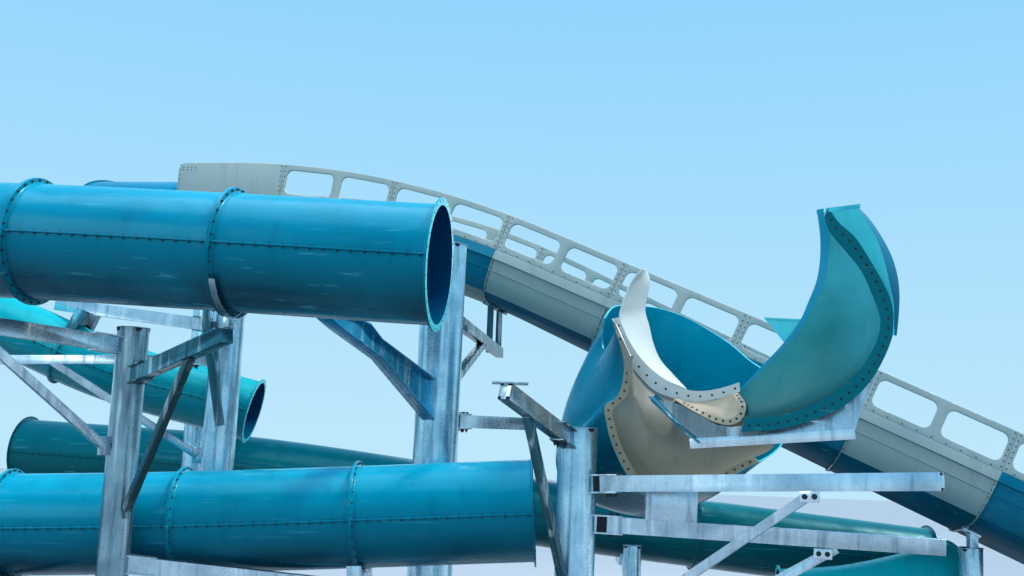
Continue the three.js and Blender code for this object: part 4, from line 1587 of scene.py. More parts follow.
@dataclass
class Column:
    """A round galvanised column on a ribbed base plate, with vent notches under its cap shown as dark
    half-discs of painted shadow.
    """

    name: str
    x: float
    y: float
    height: float
    radius: float
    own_node: bool = True
    finish: Galvanised = STAINED_STEEL
    cap: float = 0.014
    cap_round: float = 0.004
    clearance: float = 0.001
    plate_thick: float = 0.03
    plate_least: float = 0.76
    plate_share: float = 3.2
    rib_height: float = 0.26
    rib_thick: float = 0.016
    rib_inset: float = 0.04
    rib_top: float = 0.03
    rib_toe: Pair = (0.05, 0.01)
    anchor_inset: float = 0.09
    vent_radius: float = 0.045
    vent_depth: float = 0.05
    vent_sink: float = 0.02
    vent_drop: float = 0.002
    vent_turn: float = math.radians(38)
    vent_sides: int = 20
    sides: int = 64

    @property
    def plate(self) -> float:
        """The side of the base plate."""
        return max(self.plate_least, self.radius * self.plate_share)

    def at(self, height: float) -> Vector:
        """The place on the column's axis at a height."""
        return Vector((self.x, self.y, height))

    def pipe(self) -> BMesh:
        """The round pipe and its cap.

        Returns:
            The new mesh.
        """
        grow = 0.0 if self.own_node else self.clearance
        low, high = self.plate_thick / 2, self.height - self.cap
        bm, cap = bmesh.new(), bmesh.new()
        middle = Matrix.Translation(self.at((low + high) / 2))
        add_cylinder(bm, middle, self.radius + grow, high - low, self.sides)
        middle = Matrix.Translation(self.at(high + self.cap / 2))
        add_cylinder(cap, middle, self.radius + self.cap, self.cap, self.sides)
        round_off(cap, sharp_edges(cap), self.cap_round)
        return join([bm, cap])

    def base(self) -> list[BMesh]:
        """The base plate and its four ribs.

        Returns:
            A mesh for each.
        """
        parts = [block((self.plate, self.plate, self.plate_thick), self.at(self.plate_thick / 2))]
        reach = self.plate / 2 - self.rib_inset
        shoulder = self.radius + self.rib_top
        toe, rounding = self.rib_toe
        shape = [
            (0, 0), (reach, 0), (reach, toe, rounding), (shoulder, self.rib_height, rounding),
            (0, self.rib_height),
        ]
        half = self.rib_thick / 2
        for number in range(4):
            parts.append(upright(prism(shape, [-half, half]), self.at(0.0), compass(number * QUARTER)))
        return parts

    def vents(self) -> BMesh:
        """Dark half-discs at the pipe's upper edge, painted shadow where the vent notches are.

        Returns:
            The new mesh.
        """
        bm = bmesh.new()
        edge = self.height - self.cap
        for number in range(4):
            way = compass(self.vent_turn + number * QUARTER)
            turn = way.to_track_quat("Z", "Y").to_matrix().to_4x4()
            place = self.at(edge - self.vent_drop) + way * (self.radius - self.vent_sink)
            place = Matrix.Translation(place) @ turn
            add_cylinder(bm, place, self.vent_radius, self.vent_depth, self.vent_sides)
        cut_level(bm, edge, Keep.BELOW)
        return bm

    def build(self) -> None:
        """Makes the column, the painted shadows of its notches and its anchor bolts."""
        parts = [self.pipe(), *(self.base() if self.own_node else [])]
        nodes = [self.name] if self.own_node else []
        set_piece(f"{self.name}_pipe", join(parts), [self.finish], Slot.STEEL, nodes)
        set_piece(f"{self.name}_vents", self.vents(), [SHADOW], Slot.STEEL)
        anchors = Fasteners(f"{self.name}_anchors", STEEL)
        reach = self.plate / 2 - self.anchor_inset
        for across in (-reach, reach):
            for along in (-reach, reach):
                anchors.add(ANCHOR_NUT, self.at(self.plate_thick) + Vector((across, along, 0.0)), UP)
        anchors.build()


COLUMNS = {
    "main": Column("main_column", 0.0, 0.0, 7.55, 0.335),
    "left": Column("left_column", -3.95, -2.05, 5.9, 0.203, finish=DARKER_STEEL),
    "middle": Column("middle_column", -3.45, 0.7, 6.5, 0.254),
    "front": Column("front_column", 1.98, -2.3, 4.8, 0.254),
    "rear": Column("rear_column", -5.25, 5.6, 8.75, 0.254, own_node=False),
    "right": Column("right_post", 9.45, 3.25, 3.0, 0.203, own_node=False),
    "small": Column("small_post", 3.62, 5.2, 2.65, 0.18, own_node=False),
    "end": Column("end_post", 8.3, 6.44, 1.78, 0.18, own_node=False),
}


@dataclass(frozen=True)
class Brace:
    """A box-section strut between two places."""

    start: Place
    end: Place
    width: float = 0.12

    def build(self) -> BMesh:
        """Makes the strut.

        Returns:
            The new mesh.
        """
        start, reach = Vector(self.start), Vector(self.end) - Vector(self.start)
        turn = reach.to_track_quat("Z", "Y").to_matrix()
        return block((self.width, self.width, reach.length), start + reach / 2, turn)


@dataclass
class Steelwork:
    """The welded arms and beams: the frame's own solids with eased edges."""

    edge: float = 0.004
    merge: float = 2e-4
    flat: float = math.radians(1)
    nodes: tuple[str, ...] = (
        "left_column_tube_arm", "left_column_outer_arm", "left_column_low_arm_right",
        "left_column_low_arm_left", "middle_column_upper_arm", "middle_column_lower_arm",
        "main_column_free_arm", "front_column_left_arm", "front_beam", "rear_beam", "rear_column",
        "small_post", "right_post", "end_post", "bowl_saddle",
    )
    # Painted shade: these arms, and the braces and stubs off their lines, take darker copies of the
    # galvanised finish.
    finishes: dict[str, tuple[Galvanised, Galvanised]] = field(default_factory=lambda: {
        "left_column_tube_arm": (SHADED_STEEL, DEEP_SHADE_STEEL),
        "front_column_left_arm": (STEEL, DEEP_SHADE_STEEL),
    })
    limbs: dict[str, tuple[Place, Place]] = field(default_factory=lambda: {
        "left_column_tube_arm": ((-3.95, -2.05, 5.23), (-2.189, -3.942, 5.688)),
        "front_column_left_arm": ((1.98, -2.3, 4.56), (1.02, -3.86, 5.16)),
        "middle_column_upper_arm": ((-3.45, 0.7, 6.21), (-6.5, 1.7, 6.64)),
    })
    limb_half: float = 0.125
    tops: dict[str, float] = field(
        default_factory=lambda: {"left_column_tube_arm": 5.752, "left_column_outer_arm": 5.838}
    )
    arm_bottom: float = 6.125
    arm_top: float = 6.5
    trough_rise: float = 0.31
    trough_reach: float = 6.55
    trough_brace: Brace = Brace((0.08, 0.3, 5.3), (0.545, 4.2, 6.44), 0.13)
    middle_strut: Brace = Brace((-3.37, 0.39, 4.66), (-3.75, 0.39, 6.46))
    strut_bracket: tuple[Place, Place] = ((0.09, 0.36, 0.1), (-3.7, 0.57, 6.24))
    rail_start: Pair = (3.28, 4.64)
    rail_slope: float = 0.0973
    rail_half: float = 0.065
    strap_end: float = 3.27

    def eased(self, node: str) -> BMesh:
        """A node's solid, merged, with its flat faces whole and its edges eased.

        Args:
            node: The node's name.

        Returns:
            The new mesh.
        """
        bm = bmesh.new()
        bm.from_mesh(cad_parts[node].data)
        bmesh.ops.remove_doubles(bm, verts=bm.verts[:], dist=self.merge)
        if node in self.tops:
            cut_level(bm, self.tops[node], Keep.BELOW)
            close_holes(bm)
        bmesh.ops.dissolve_limit(bm, angle_limit=self.flat, verts=bm.verts[:], edges=bm.edges[:])
        round_off(bm, [e for e in sharp_edges(bm, 35) if e.calc_length() > 4 * self.edge], self.edge)
        return bm

    def build(self) -> None:
        """Makes every piece of steelwork."""
        for node in self.nodes:
            bm = self.eased(node)
            if node in self.limbs:
                self.tell_brace(bm, *self.limbs[node])
            # Faces off an arm's line take the painted shade of SHADED_STEEL.
            finishes = self.finishes.get(node, (STEEL, SHADED_STEEL))
            set_piece(f"{node}_steel", bm, finishes, Slot.STEEL, [node])
        self.trough_arm()
        size, middle = self.strut_bracket
        strut = join([self.middle_strut.build(), block(size, Vector(middle))])
        # The strut and its bracket are painted deep shade.
        set_piece("middle_column_strut", strut, [DEEP_SHADE_STEEL], Slot.STEEL)
        self.cradle()

    def trough_arm(self) -> None:
        """Makes the arm under the trough, which climbs to its column, with its long brace."""
        bm = self.eased("main_column_trough_arm")
        cut_level(bm, self.arm_bottom, Keep.ABOVE)
        close_holes(bm)
        for vert in bm.verts:
            if vert.co.z < self.arm_top:
                vert.co.z += self.trough_rise * max(0.0, 1 - vert.co.y / self.trough_reach)
        bm = join([bm, self.trough_brace.build()])
        # The trough arm and its brace are painted deep shade.
        set_piece("main_column_trough_arm_steel", bm, [DEEP_SHADE_STEEL], Slot.STEEL, ["main_column_trough_arm"])

    def tell_brace(self, bm: BMesh, root: Place, end: Place) -> None:
        """Gives the second finish, a darker painted shade, to what stands off the line of an arm, such as its
        brace.

        Args:
            bm: The arm's mesh.
            root: Where the line starts.
            end: Where it ends.
        """
        for face in bm.faces:
            middle = face.calc_center_median()
            nearest, _ = geometry.intersect_point_line(middle, Vector(root), Vector(end))
            face.material_index = int((middle - nearest).length > self.limb_half)

    def cradle(self) -> None:
        """Makes the bowl's cradle, with painted light on its rail and painted shade on its strap, against its
        plainer plate.
        """
        bm = self.eased("bowl_cradle")
        start, level = self.rail_start
        for face in bm.faces:
            middle = face.calc_center_median()
            over = middle.z - level - self.rail_slope * (middle.x - start) > self.rail_half
            face.material_index = 2 if middle.x < self.strap_end else int(over)
        set_piece("bowl_cradle_steel", bm, [PAINTED_LIGHT_STEEL, STEEL, SHADED_STEEL], Slot.STEEL, ["bowl_cradle"])


@dataclass
class Arm:
    """The fastenings of one box-section arm or beam on a column, with painted shadow for its open end and its
    gap.
    """

    column: Column
    root_height: float
    end: Place
    width: float = 0.15
    depth: float = 0.2
    shelf: float = 0.34
    plate: float = 0.02
    vented: bool = True
    gap: float = 0.0
    first_bolt: float = 0.2
    bolt_inset: float = 0.06
    bolt_half: float = 0.05
    bolt_sink: float = 0.002
    vent_size: Place = (0.03, 0.046, 0.038)
    vent_inset: Pair = (0.022, 0.018)
    vent_sink: float = 0.0135
    vent_round: float = 0.006
    gap_offset: float = 0.012
    gap_round: float = 0.002
    gap_margin: float = 0.005

    def __post_init__(self) -> None:
        """Works out the root on the column's axis, and the arm's along, side and up."""
        self.root = self.column.at(self.root_height)
        self.along = (Vector(self.end) - self.root).normalized()
        self.side = UP.cross(self.along).normalized()
        self.up = self.along.cross(self.side)
        self.turn = Matrix((self.along, self.side, self.up)).transposed()

    def fasten(self, bolts: Fasteners) -> None:
        """Bolts the shelf plates above and below the arm.

        Args:
            bolts: Takes the bolts and nuts.
        """
        lift = self.depth / 2 + self.plate - self.bolt_sink
        for reach in (self.first_bolt, self.shelf - self.bolt_inset):
            for across in (-self.bolt_half, self.bolt_half):
                seat = self.root + self.along * (self.column.radius + reach) + self.side * across
                bolts.add(STEEL_BOLT, seat + UP * lift, self.up)
                bolts.add(STEEL_NUT, seat - UP * lift, -self.up)

    def opening_shadows(self) -> list[BMesh]:
        """Dark blocks of painted shadow for the vent notches in the corners of the arm's end plate.

        Returns:
            A mesh for each.
        """
        parts = []
        beside, below = self.vent_inset
        for across in (-1, 1):
            for height in (-1, 1):
                offset = self.side * across * (self.width / 2 - beside)
                offset += self.up * height * (self.depth / 2 - below) - self.along * self.vent_sink
                parts.append(block(self.vent_size, Vector(self.end) + offset, self.turn, self.vent_round))
        return parts

    def gap_shadow(self) -> BMesh:
        """The dark gap between the column and the beam's end, inside its bracket.

        Returns:
            The new mesh.
        """
        middle = self.root + self.along * (self.column.radius + self.gap / 2 + self.gap_offset)
        size = (self.gap, self.width + self.gap_margin, self.depth + self.gap_margin)
        return block(size, middle, self.turn, self.gap_round)


ARMS = {
    "front_beam": Arm(COLUMNS["front"], 4.08, (5.81, -4.44, 4.33), gap=0.09),
    "rear_beam": Arm(COLUMNS["front"], 3.6, (6.6, -2.49, 3.47), vented=False, gap=0.13),
    "front_left_arm": Arm(COLUMNS["front"], 4.56, (1.02, -3.86, 5.16)),
    "main_free_arm": Arm(COLUMNS["main"], 4.86, (1.5, 1.78, 4.88), gap=0.09),
    "middle_lower_arm": Arm(COLUMNS["middle"], 5.7, (-7.1, 0.62, 5.56), width=0.11, depth=0.14),
}


@dataclass(frozen=True)
class Lug:
    """A plate under a beam to which a brace is bolted."""

    middle: Place
    along: Place
    length: float = 0.23
    height: float = 0.13
    thick: float = 0.012
    pitch: float = 0.11

    def build(self, bolts: Fasteners) -> BMesh:
        """Makes the plate and adds its two bolts.

        Args:
            bolts: Takes the bolts.

        Returns:
            The plate's mesh.
        """
        along = Vector(self.along).normalized()
        out = along.cross(UP).normalized()
        middle = Vector(self.middle)
        for way in (-0.5, 0.5):
            bolts.add(STEEL_BOLT, middle + along * self.pitch * way + out * self.thick / 2, out)
        turn = Matrix((along, -out, along.cross(-out))).transposed()
        return block((self.length, self.thick, self.height), middle, turn)


LUGS = (
    Lug((4.535, -3.81, 4.09), (3.83, -2.14, 0.25)),
    Lug((5.082, -2.478, 3.333), (4.62, -0.19, -0.13)),
)


def dress_arms() -> None:
    """Bolts every arm and brace, and puts painted shadow in the vented ends and the beams' gaps."""
    bolts = Fasteners("arm_bolts")
    vents: list[BMesh] = []
    for name, arm in ARMS.items():
        LOG.info("%s: bolts and end", name)
        arm.fasten(bolts)
        if arm.vented:
            vents.extend(arm.opening_shadows())
        if arm.gap:
            vents.append(arm.gap_shadow())
    set_piece("brace_lugs", join([lug.build(bolts) for lug in LUGS]), [PAINTED_LIGHT_STEEL], Slot.STEEL)
    bolts.build()
    set_piece("arm_end_vents", join(vents), [SHADOW], Slot.STEEL)


# The banked bowl


@dataclass(frozen=True)
class Strip:
    """A band of a moulded surface, flat between two guides or crowned over a third between them."""

    guides: tuple[Run, ...]
    steps: int
    coat: int = 0

    def point(self, along: float, across: float) -> Vector:
        """A place on the band.

        Args:
            along: The share of the guides' lengths.
            across: The share of the way from the first guide to the last.

        Returns:
            The place.
        """
        marks = [guide.point(along) for guide in self.guides]
        if len(marks) == 2:
            return marks[0].lerp(marks[1], across)
        first, middle, last = marks
        control = middle * 2 - first * 0.5 - last * 0.5
        back = 1 - across
        return first * back * back + control * (2 * across * back) + last * across * across


@dataclass
class Moulding:
    """A moulded shell over a row of strips, each with its own finish on the side of its normals."""

    name: str
    node: str
    strips: Sequence[Strip]
    finishes: Sequence[Finish]
    slot: Slot
    steps: int = 72
    thick: float = 0.02
    back: int = 1
    # The finish index of the rim faces; on the rear shell it is a painted highlight.
    rim: int = 1

    def row(self, row: float) -> tuple[Strip, float]:
        """Finds a row of the grid on the strips.

        Args:
            row: The row, counted across from the first strip's first guide.

        Returns:
            The strip that it belongs to, and its share of that strip.
        """
        for strip in self.strips:
            if row <= strip.steps:
                return strip, row / strip.steps
            row -= strip.steps
        return self.strips[-1], 1.0

    def build(self) -> None:
        """Makes the shell: a grid laid on the strips, then given its thickness."""
        rows = sum(strip.steps for strip in self.strips)
        bm = bmesh.new()
        bmesh.ops.create_grid(bm, x_segments=self.steps, y_segments=rows, size=0.5)
        for face in bm.faces:
            middle = face.calc_center_median()
            face.material_index = self.row((middle.y + 0.5) * rows)[0].coat
        for vert in bm.verts:
            strip, across = self.row((vert.co.y + 0.5) * rows)
            vert.co = strip.point(vert.co.x + 0.5, across)
        bmesh.ops.reverse_faces(bm, faces=bm.faces[:])
        bm.normal_update()
        for vert in bm.verts:
            vert.co += vert.normal * (self.thick / 2)
        skin = set(bm.faces)
        bmesh.ops.solidify(bm, geom=bm.faces[:], thickness=self.thick)
        for face in bm.faces:
            if face not in skin:
                beside = {other for edge in face.edges for other in edge.link_faces}
                face.material_index = self.rim if beside & skin else self.back
        set_piece(self.name, bm, self.finishes, self.slot, [self.node] if self.node else [])


# Stops on the far and near rings: degrees, radius and, where there is one, the distance towards the viewer.
FAR_GUIDES = {
    "wing_lip": ((-76, 1.284), (-60, 1.119), (-39, 1.066), (-20, 1.109), (-4, 1.173), (7, 1.266),
        (17, 1.354), (29, 1.485), (40, 1.64)),
    "wing_crease": ((-76, 1.32), (-60, 1.16), (-39, 1.115), (-20, 1.18), (-3, 1.271), (7, 1.377),
        (17, 1.467), (27, 1.587), (38, 1.749)),
    "lip_inner": ((195, 1.29), (215, 1.293), (227, 1.305), (240, 1.314), (252, 1.318), (261, 1.295),
        (272, 1.243), (285, 1.193)),
    "lip_outer": ((195, 1.362), (203, 1.376), (216, 1.444), (226, 1.468), (239, 1.505), (250, 1.476),
        (261, 1.433), (271, 1.377), (284, 1.31)),
    "horn_front": ((162, 0.988), (172, 1.09), (180, 1.148), (188, 1.216), (195, 1.282), (203, 1.288),
        (215, 1.292), (227, 1.302), (240, 1.311), (254, 1.312)),
}
NEAR_GUIDES = {
    "wing_near": ((-106, 1.243), (-84, 1.135), (-65, 1.095), (-45, 1.096), (-26, 1.139), (-3, 1.187),
        (19, 1.125), (32, 1.123), (46, 1.129), (59, 1.202), (65, 1.33)),
    "wing_rim": ((-106, 1.403), (-85, 1.292), (-56, 1.267), (-40, 1.283), (-22, 1.296), (-3, 1.334),
        (13, 1.306), (35, 1.274), (47, 1.312), (58, 1.34), (65, 1.43)),
    "flare_root": ((-8, 1.329), (3, 1.33), (13, 1.306), (35, 1.274), (47, 1.312), (57, 1.335), (63, 1.4)),
    "flare_ridge": ((-8, 1.345, 0.01), (8, 1.335, 0.05), (17, 1.33, 0.11), (28, 1.372, 0.15),
        (38, 1.437, 0.15), (46, 1.49, 0.15), (54, 1.565, 0.15)),
    "flare_edge": ((-8, 1.365), (2, 1.375), (12, 1.412), (20, 1.447), (29, 1.484), (38, 1.516),
        (47, 1.56), (54, 1.596)),
}
# Places that the other guides pass.
FREE_GUIDES = {
    "horn_back": ((2.895, -1.788, 6.971), (2.938, -1.781, 6.817), (2.9, -1.747, 6.581),
        (2.888, -1.726, 6.414), (2.946, -1.718, 6.217), (3.004, -1.707, 5.991), (3.104, -1.706, 5.764),
        (3.29, -1.82, 5.53)),
    "bowl_front": ((2.62, -2.45, 5.74), (2.68, -2.58, 5.12), (2.88, -2.68, 4.7), (3.4, -2.74, 4.56),
        (4.0, -2.76, 4.66), (4.42, -2.79, 4.8)),
    "bowl_seam": ((2.437, -2.33, 6.072), (2.542, -2.27, 5.77), (2.565, -2.21, 5.489),
        (2.49, -2.15, 5.205), (2.343, -2.1, 5.097), (2.376, -2.05, 4.863), (2.459, -2.05, 4.586),
        (2.675, -2.09, 4.186), (2.879, -2.12, 3.96), (3.205, -2.15, 3.885), (3.499, -2.2, 3.956),
        (3.949, -2.4, 4.262), (4.252, -2.6, 4.454)),
    "bowl_back": ((2.36, -1.5, 5.9), (1.86, -0.85, 4.95), (1.95, -0.35, 4.15), (3.1, -0.2, 3.85),
        (4.2, -0.7, 4.25), (4.8, -1.9, 4.9)),
    "bowl_rim": ((2.347, -1.6, 6.316), (2.55, -1.15, 6.547), (2.995, -0.9, 6.595), (3.325, -0.7, 6.576),
        (3.658, -0.62, 6.479), (3.967, -0.68, 6.305), (4.225, -0.9, 6.1), (4.433, -1.3, 5.826),
        (4.56, -2.0, 5.6)),
}
CUP_EDGE = (
    (3.421, -2.8, 5.02), (3.655, -2.84, 4.91), (3.838, -2.85, 4.888), (3.984, -2.84, 4.972),
    (4.036, -2.8, 5.13),
)
# Outlines of thin plates: across, height and, where a corner is rounded, its radius.
GUSSET = (
    (-0.42, 5.16), (-0.15, 5.11), (0.07, 4.99), (0.3, 4.875), (0.465, 4.855), (0.63, 4.88), (0.83, 4.78),
    (0.83, 4.73, 0.02), (0.02, 4.69, 0.02), (-0.15, 4.9),
)
EAR = ((0.0, 6.278), (0.13, 6.12, 0.05), (0.3, 5.915), (0.54, 6.235))
EAR_EDGE = ((0.0, 6.278), (0.54, 6.235), (0.54, 6.255), (0.0, 6.298))


@dataclass
class BankedBowl:
    """The banked bowl section: its teal wing, blue flare, cream front shell and horn, and blue rear."""

    yaw: float = math.radians(-13)
    pitch: float = math.radians(6)
    near: Vector = field(default_factory=lambda: Vector((4.17, -3.69, 6.14)))
    far: Vector = field(default_factory=lambda: Vector((3.69, -2.55, 6.59)))
    divisions: int = 200
    bulge: float = 0.23
    fade: float = 0.25
    half_wall: float = 0.0105
    flange: float = 0.115
    flange_lip: float = 0.014
    flange_middle: Place = (3.4, -2.35, 4.95)
    cup_lip: float = 0.085
    cup_middle: Place = (3.72, -2.72, 5.16)
    cup_span: Pair = (0.6, 0.985)
    cup_sag: Place = (0.0, 0.01, -0.02)
    end_flange: float = 0.05
    end_stops: tuple[Point, ...] = ((40, 1.64), (38, 1.749), (65, 1.43), (54, 1.6))
    end_shift: Place = (0.02, 0.0, 0.045)
    thin: float = 0.014
    gusset_half: float = 0.006
    gusset_heading: Place = (1.0, -0.24, 0.0)
    gusset_foot: Place = (3.3, -3.16, 0.0)
    ear_half: float = 0.007
    ear_lip: Pair = (-0.06, 0.02)
    ear_heading: Place = (0.833, -0.553, 0.0)
    ear_foot: Place = (4.356, -2.45, 0.0)
    hole_rows: tuple[tuple[str, str, float, float, float, float], ...] = (
        ("wing_near", "wing_rim", 0.55, 0.02, 0.97, 0.115),
        ("lip_inner", "lip_outer", 0.5, 0.05, 0.97, 0.16),
        ("bowl_seam", "shell_edge", 0.42, 0.02, 0.98, 0.11),
        ("cup_line", "cup_edge", 0.45, 0.16, 0.95, 0.1),
    )

    def __post_init__(self) -> None:
        """Works out the axes of the two tilted rings, and every guide."""
        self.right = compass(self.yaw)
        self.away = Matrix.Rotation(self.pitch, 3, self.right) @ UP.cross(self.right)
        self.up = self.right.cross(self.away)
        self.guides: dict[str, Run] = {}
        self.draw_guides()

    def at_ring(self, centre: Vector, degrees: float, radius: float, nearer: float = 0.0) -> Vector:
        """A place near a ring.

        Args:
            centre: The ring's centre.
            degrees: The angle from its right, towards its top.
            radius: The distance from its centre.
            nearer: How far the place lies towards the viewer.

        Returns:
            The place.
        """
        angle = math.radians(degrees)
        place = centre + self.right * radius * math.cos(angle) + self.up * radius * math.sin(angle)
        return place - self.away * nearer

    def bulged(self, first: Run, last: Run) -> Run:
        """A guide halfway between two others, pushed out from the rings.

        Args:
            first: The one guide.
            last: The other.

        Returns:
            The new guide.
        """
        hub = (self.near + self.far) / 2
        points = []
        for share in spread(0, 1, 12):
            middle = (first.point(share) + last.point(share)) / 2
            fade = min(1.0, (1 - share) / self.fade)
            points.append(middle + (middle - hub).normalized() * self.bulge * math.sin(fade * QUARTER))
        return smooth_run(points, self.divisions)

    def inset(self, guide: Run, reach: float, centre: Place) -> Run:
        """A guide moved towards a centre.

        Args:
            guide: The guide.
            reach: How far it moves.
            centre: The place that it moves towards.

        Returns:
            The new guide.
        """
        places = [guide.point(share) for share in spread(0, 1, 24)]
        moved = [place + (Vector(centre) - place).normalized() * reach for place in places]
        return smooth_run(moved, self.divisions)

    def draw_guides(self) -> None:
        """Draws every guide of the bowl."""
        made = self.guides
        for centre, table in ((self.far, FAR_GUIDES), (self.near, NEAR_GUIDES)):
            for name, stops in table.items():
                made[name] = smooth_run([self.at_ring(centre, *stop) for stop in stops], self.divisions)
        for name, points in FREE_GUIDES.items():
            made[name] = smooth_run(points, self.divisions)
        made["wing_bulge"] = self.bulged(made["wing_crease"], made["wing_near"])
        seam, outer = made["bowl_seam"], made["lip_outer"]
        made["flange_line"] = self.inset(seam, self.flange - self.flange_lip, self.flange_middle)
        made["shell_edge"] = self.inset(seam, self.flange, self.flange_middle)
        start, end = self.cup_span
        made["cup_top"] = top = Run(lambda t: outer.point(start + (end - start) * t), 100)
        made["cup_edge"] = smooth_run([top.point(0), *CUP_EDGE, top.point(1)], self.divisions)
        made["cup_line"] = line = self.inset(made["cup_edge"], self.cup_lip, self.cup_middle)
        made["cup_floor"] = smooth_run([
            (top.point(share) + line.point(share)) / 2 + Vector(self.cup_sag) * math.sin(share * math.pi)
            for share in spread(0, 1, 8)
        ], 100)
        centres = (self.far, self.far, self.near, self.near)
        tips = [self.at_ring(centre, *stop) for centre, stop in zip(centres, self.end_stops)]
        tips[-1] += Vector(self.end_shift)
        made["end_top"] = smooth_run(tips, 100)
        made["end_low"] = smooth_run([tip - self.up * self.end_flange for tip in tips], 100)

    def strip(self, steps: int, *names: str, coat: int = 0) -> Strip:
        """A strip over the guides that are named."""
        return Strip(tuple(self.guides[name] for name in names), steps, coat)

    def mouldings(self) -> list[Moulding]:
        """The bowl's five shells, its cup and its two thin flanges.

        Returns:
            One moulding for each.
        """
        strip = self.strip
        return [
            Moulding("bowl_wing_shell", "bowl_wing", [
                strip(2, "wing_lip", "wing_crease", coat=2),
                strip(24, "wing_crease", "wing_bulge", "wing_near"),
                strip(3, "wing_near", "wing_rim", coat=3),
            ], [SEA_GREEN, TURQUOISE, LIP_BLUE, DEEP_GREEN], Slot.TEAL, 96),
            Moulding("bowl_flare_shell", "bowl_flare", [
                strip(4, "flare_root", "flare_ridge", coat=2),
                strip(4, "flare_ridge", "flare_edge"),
            ], [BLUE, BLUE, AQUA_AND_RIM_HIGHLIGHT], Slot.BLUE, 60),
            Moulding("bowl_front_shell_skin", "bowl_front_shell", [
                strip(2, "lip_inner", "lip_outer", coat=2),
                strip(24, "lip_outer", "bowl_front", "shell_edge"),
            ], [SAND, SAND, IVORY], Slot.CREAM, 84, rim=2),
            # Its rim faces take the aqua painted highlight.
            Moulding("bowl_rear_shell_skin", "bowl_rear_shell", [
                strip(32, "bowl_seam", "bowl_back", "bowl_rim"),
            ], [TURQUOISE, LAGOON, AQUA_AND_RIM_HIGHLIGHT], Slot.BLUE, 84, rim=2),
            Moulding("bowl_horn_blade", "bowl_horn", [strip(10, "horn_front", "horn_back")], [IVORY, IVORY],
                     Slot.CREAM, 60),
            # Its narrow second strip is painted shadow in the groove between the flange and the front shell.
            Moulding("bowl_seam_flange", "", [
                strip(3, "bowl_seam", "flange_line"),
                strip(1, "flange_line", "shell_edge", coat=2),
            ], [TAN, TAN, SHADOW], Slot.CREAM, 90, self.thin),
            Moulding("bowl_cup", "", [
                strip(8, "cup_top", "cup_floor", "cup_line"),
                strip(2, "cup_line", "cup_edge"),
            ], [TAN, TAN], Slot.CREAM, 36, self.thin),
            Moulding("bowl_wing_end_flange", "", [strip(2, "end_top", "end_low")], [AQUA_AND_RIM_HIGHLIGHT, AQUA_AND_RIM_HIGHLIGHT], Slot.TEAL, 30,
                     self.thin),
        ]

    def paint_hole_shadows(self) -> None:
        """Marks holes along the middles of the bolting flanges with dark discs of painted shadow."""
        holes = Fasteners("bowl_flange_holes", SHADOW)
        for first, second, across, start, end, pitch in self.hole_rows:
            inner, outer = self.guides[first], self.guides[second]
            count = round(outer.length * (end - start) / pitch)
            for share in spread(start, end, count):
                low, high = inner.point(share), outer.point(share)
                normal = outer.tangent(share).cross(high - low).normalized()
                seat = low.lerp(high, across)
                for way in (-1, 1):
                    holes.add(SHELL_HOLE_SHADOW, seat + normal * way * self.half_wall, normal * way)
        holes.build(Slot.TEAL)

    def plates(self) -> None:
        """Makes the cradle's left gusset and the small ear behind the wing."""
        gusset = prism(GUSSET, [-self.gusset_half, self.gusset_half])
        gusset = upright(gusset, Vector(self.gusset_foot), Vector(self.gusset_heading).normalized())
        set_piece("bowl_cradle_gusset", gusset, [GREY_STEEL], Slot.STEEL)
        ear = join([prism(EAR, [-self.ear_half, self.ear_half]), prism(EAR_EDGE, self.ear_lip)])
        ear = upright(ear, Vector(self.ear_foot), Vector(self.ear_heading).normalized())
        set_piece("bowl_wing_ear", ear, [AQUA_AND_RIM_HIGHLIGHT], Slot.TEAL)

    def build(self) -> None:
        """Makes the bowl's shells, the painted shadows of its holes and its plates."""
        for moulding in self.mouldings():
            moulding.build()
        self.paint_hole_shadows()
        self.plates()


# The studio


@dataclass(frozen=True)
class Lamp:
    """A soft square light that hangs at a place and faces a target, or a sun that shines that way."""

    name: str
    place: Place
    size: float
    power: float
    colour: Colour
    target: Place = (1.0, 1.0, 5.0)
    kind: str = "AREA"

    def build(self) -> None:
        """Hangs the light."""
        data = bpy.data.lights.new(self.name, self.kind)
        data.energy = self.power
        data.color = self.colour
        if self.kind == "SUN":
            data.angle = self.size
        else:
            data.size = self.size
        lamp = add_object(self.name, data)
        lamp.location = self.place
        lamp.rotation_mode = "QUATERNION"
        lamp.rotation_quaternion = (Vector(self.target) - Vector(self.place)).to_track_quat("-Z", "Y")


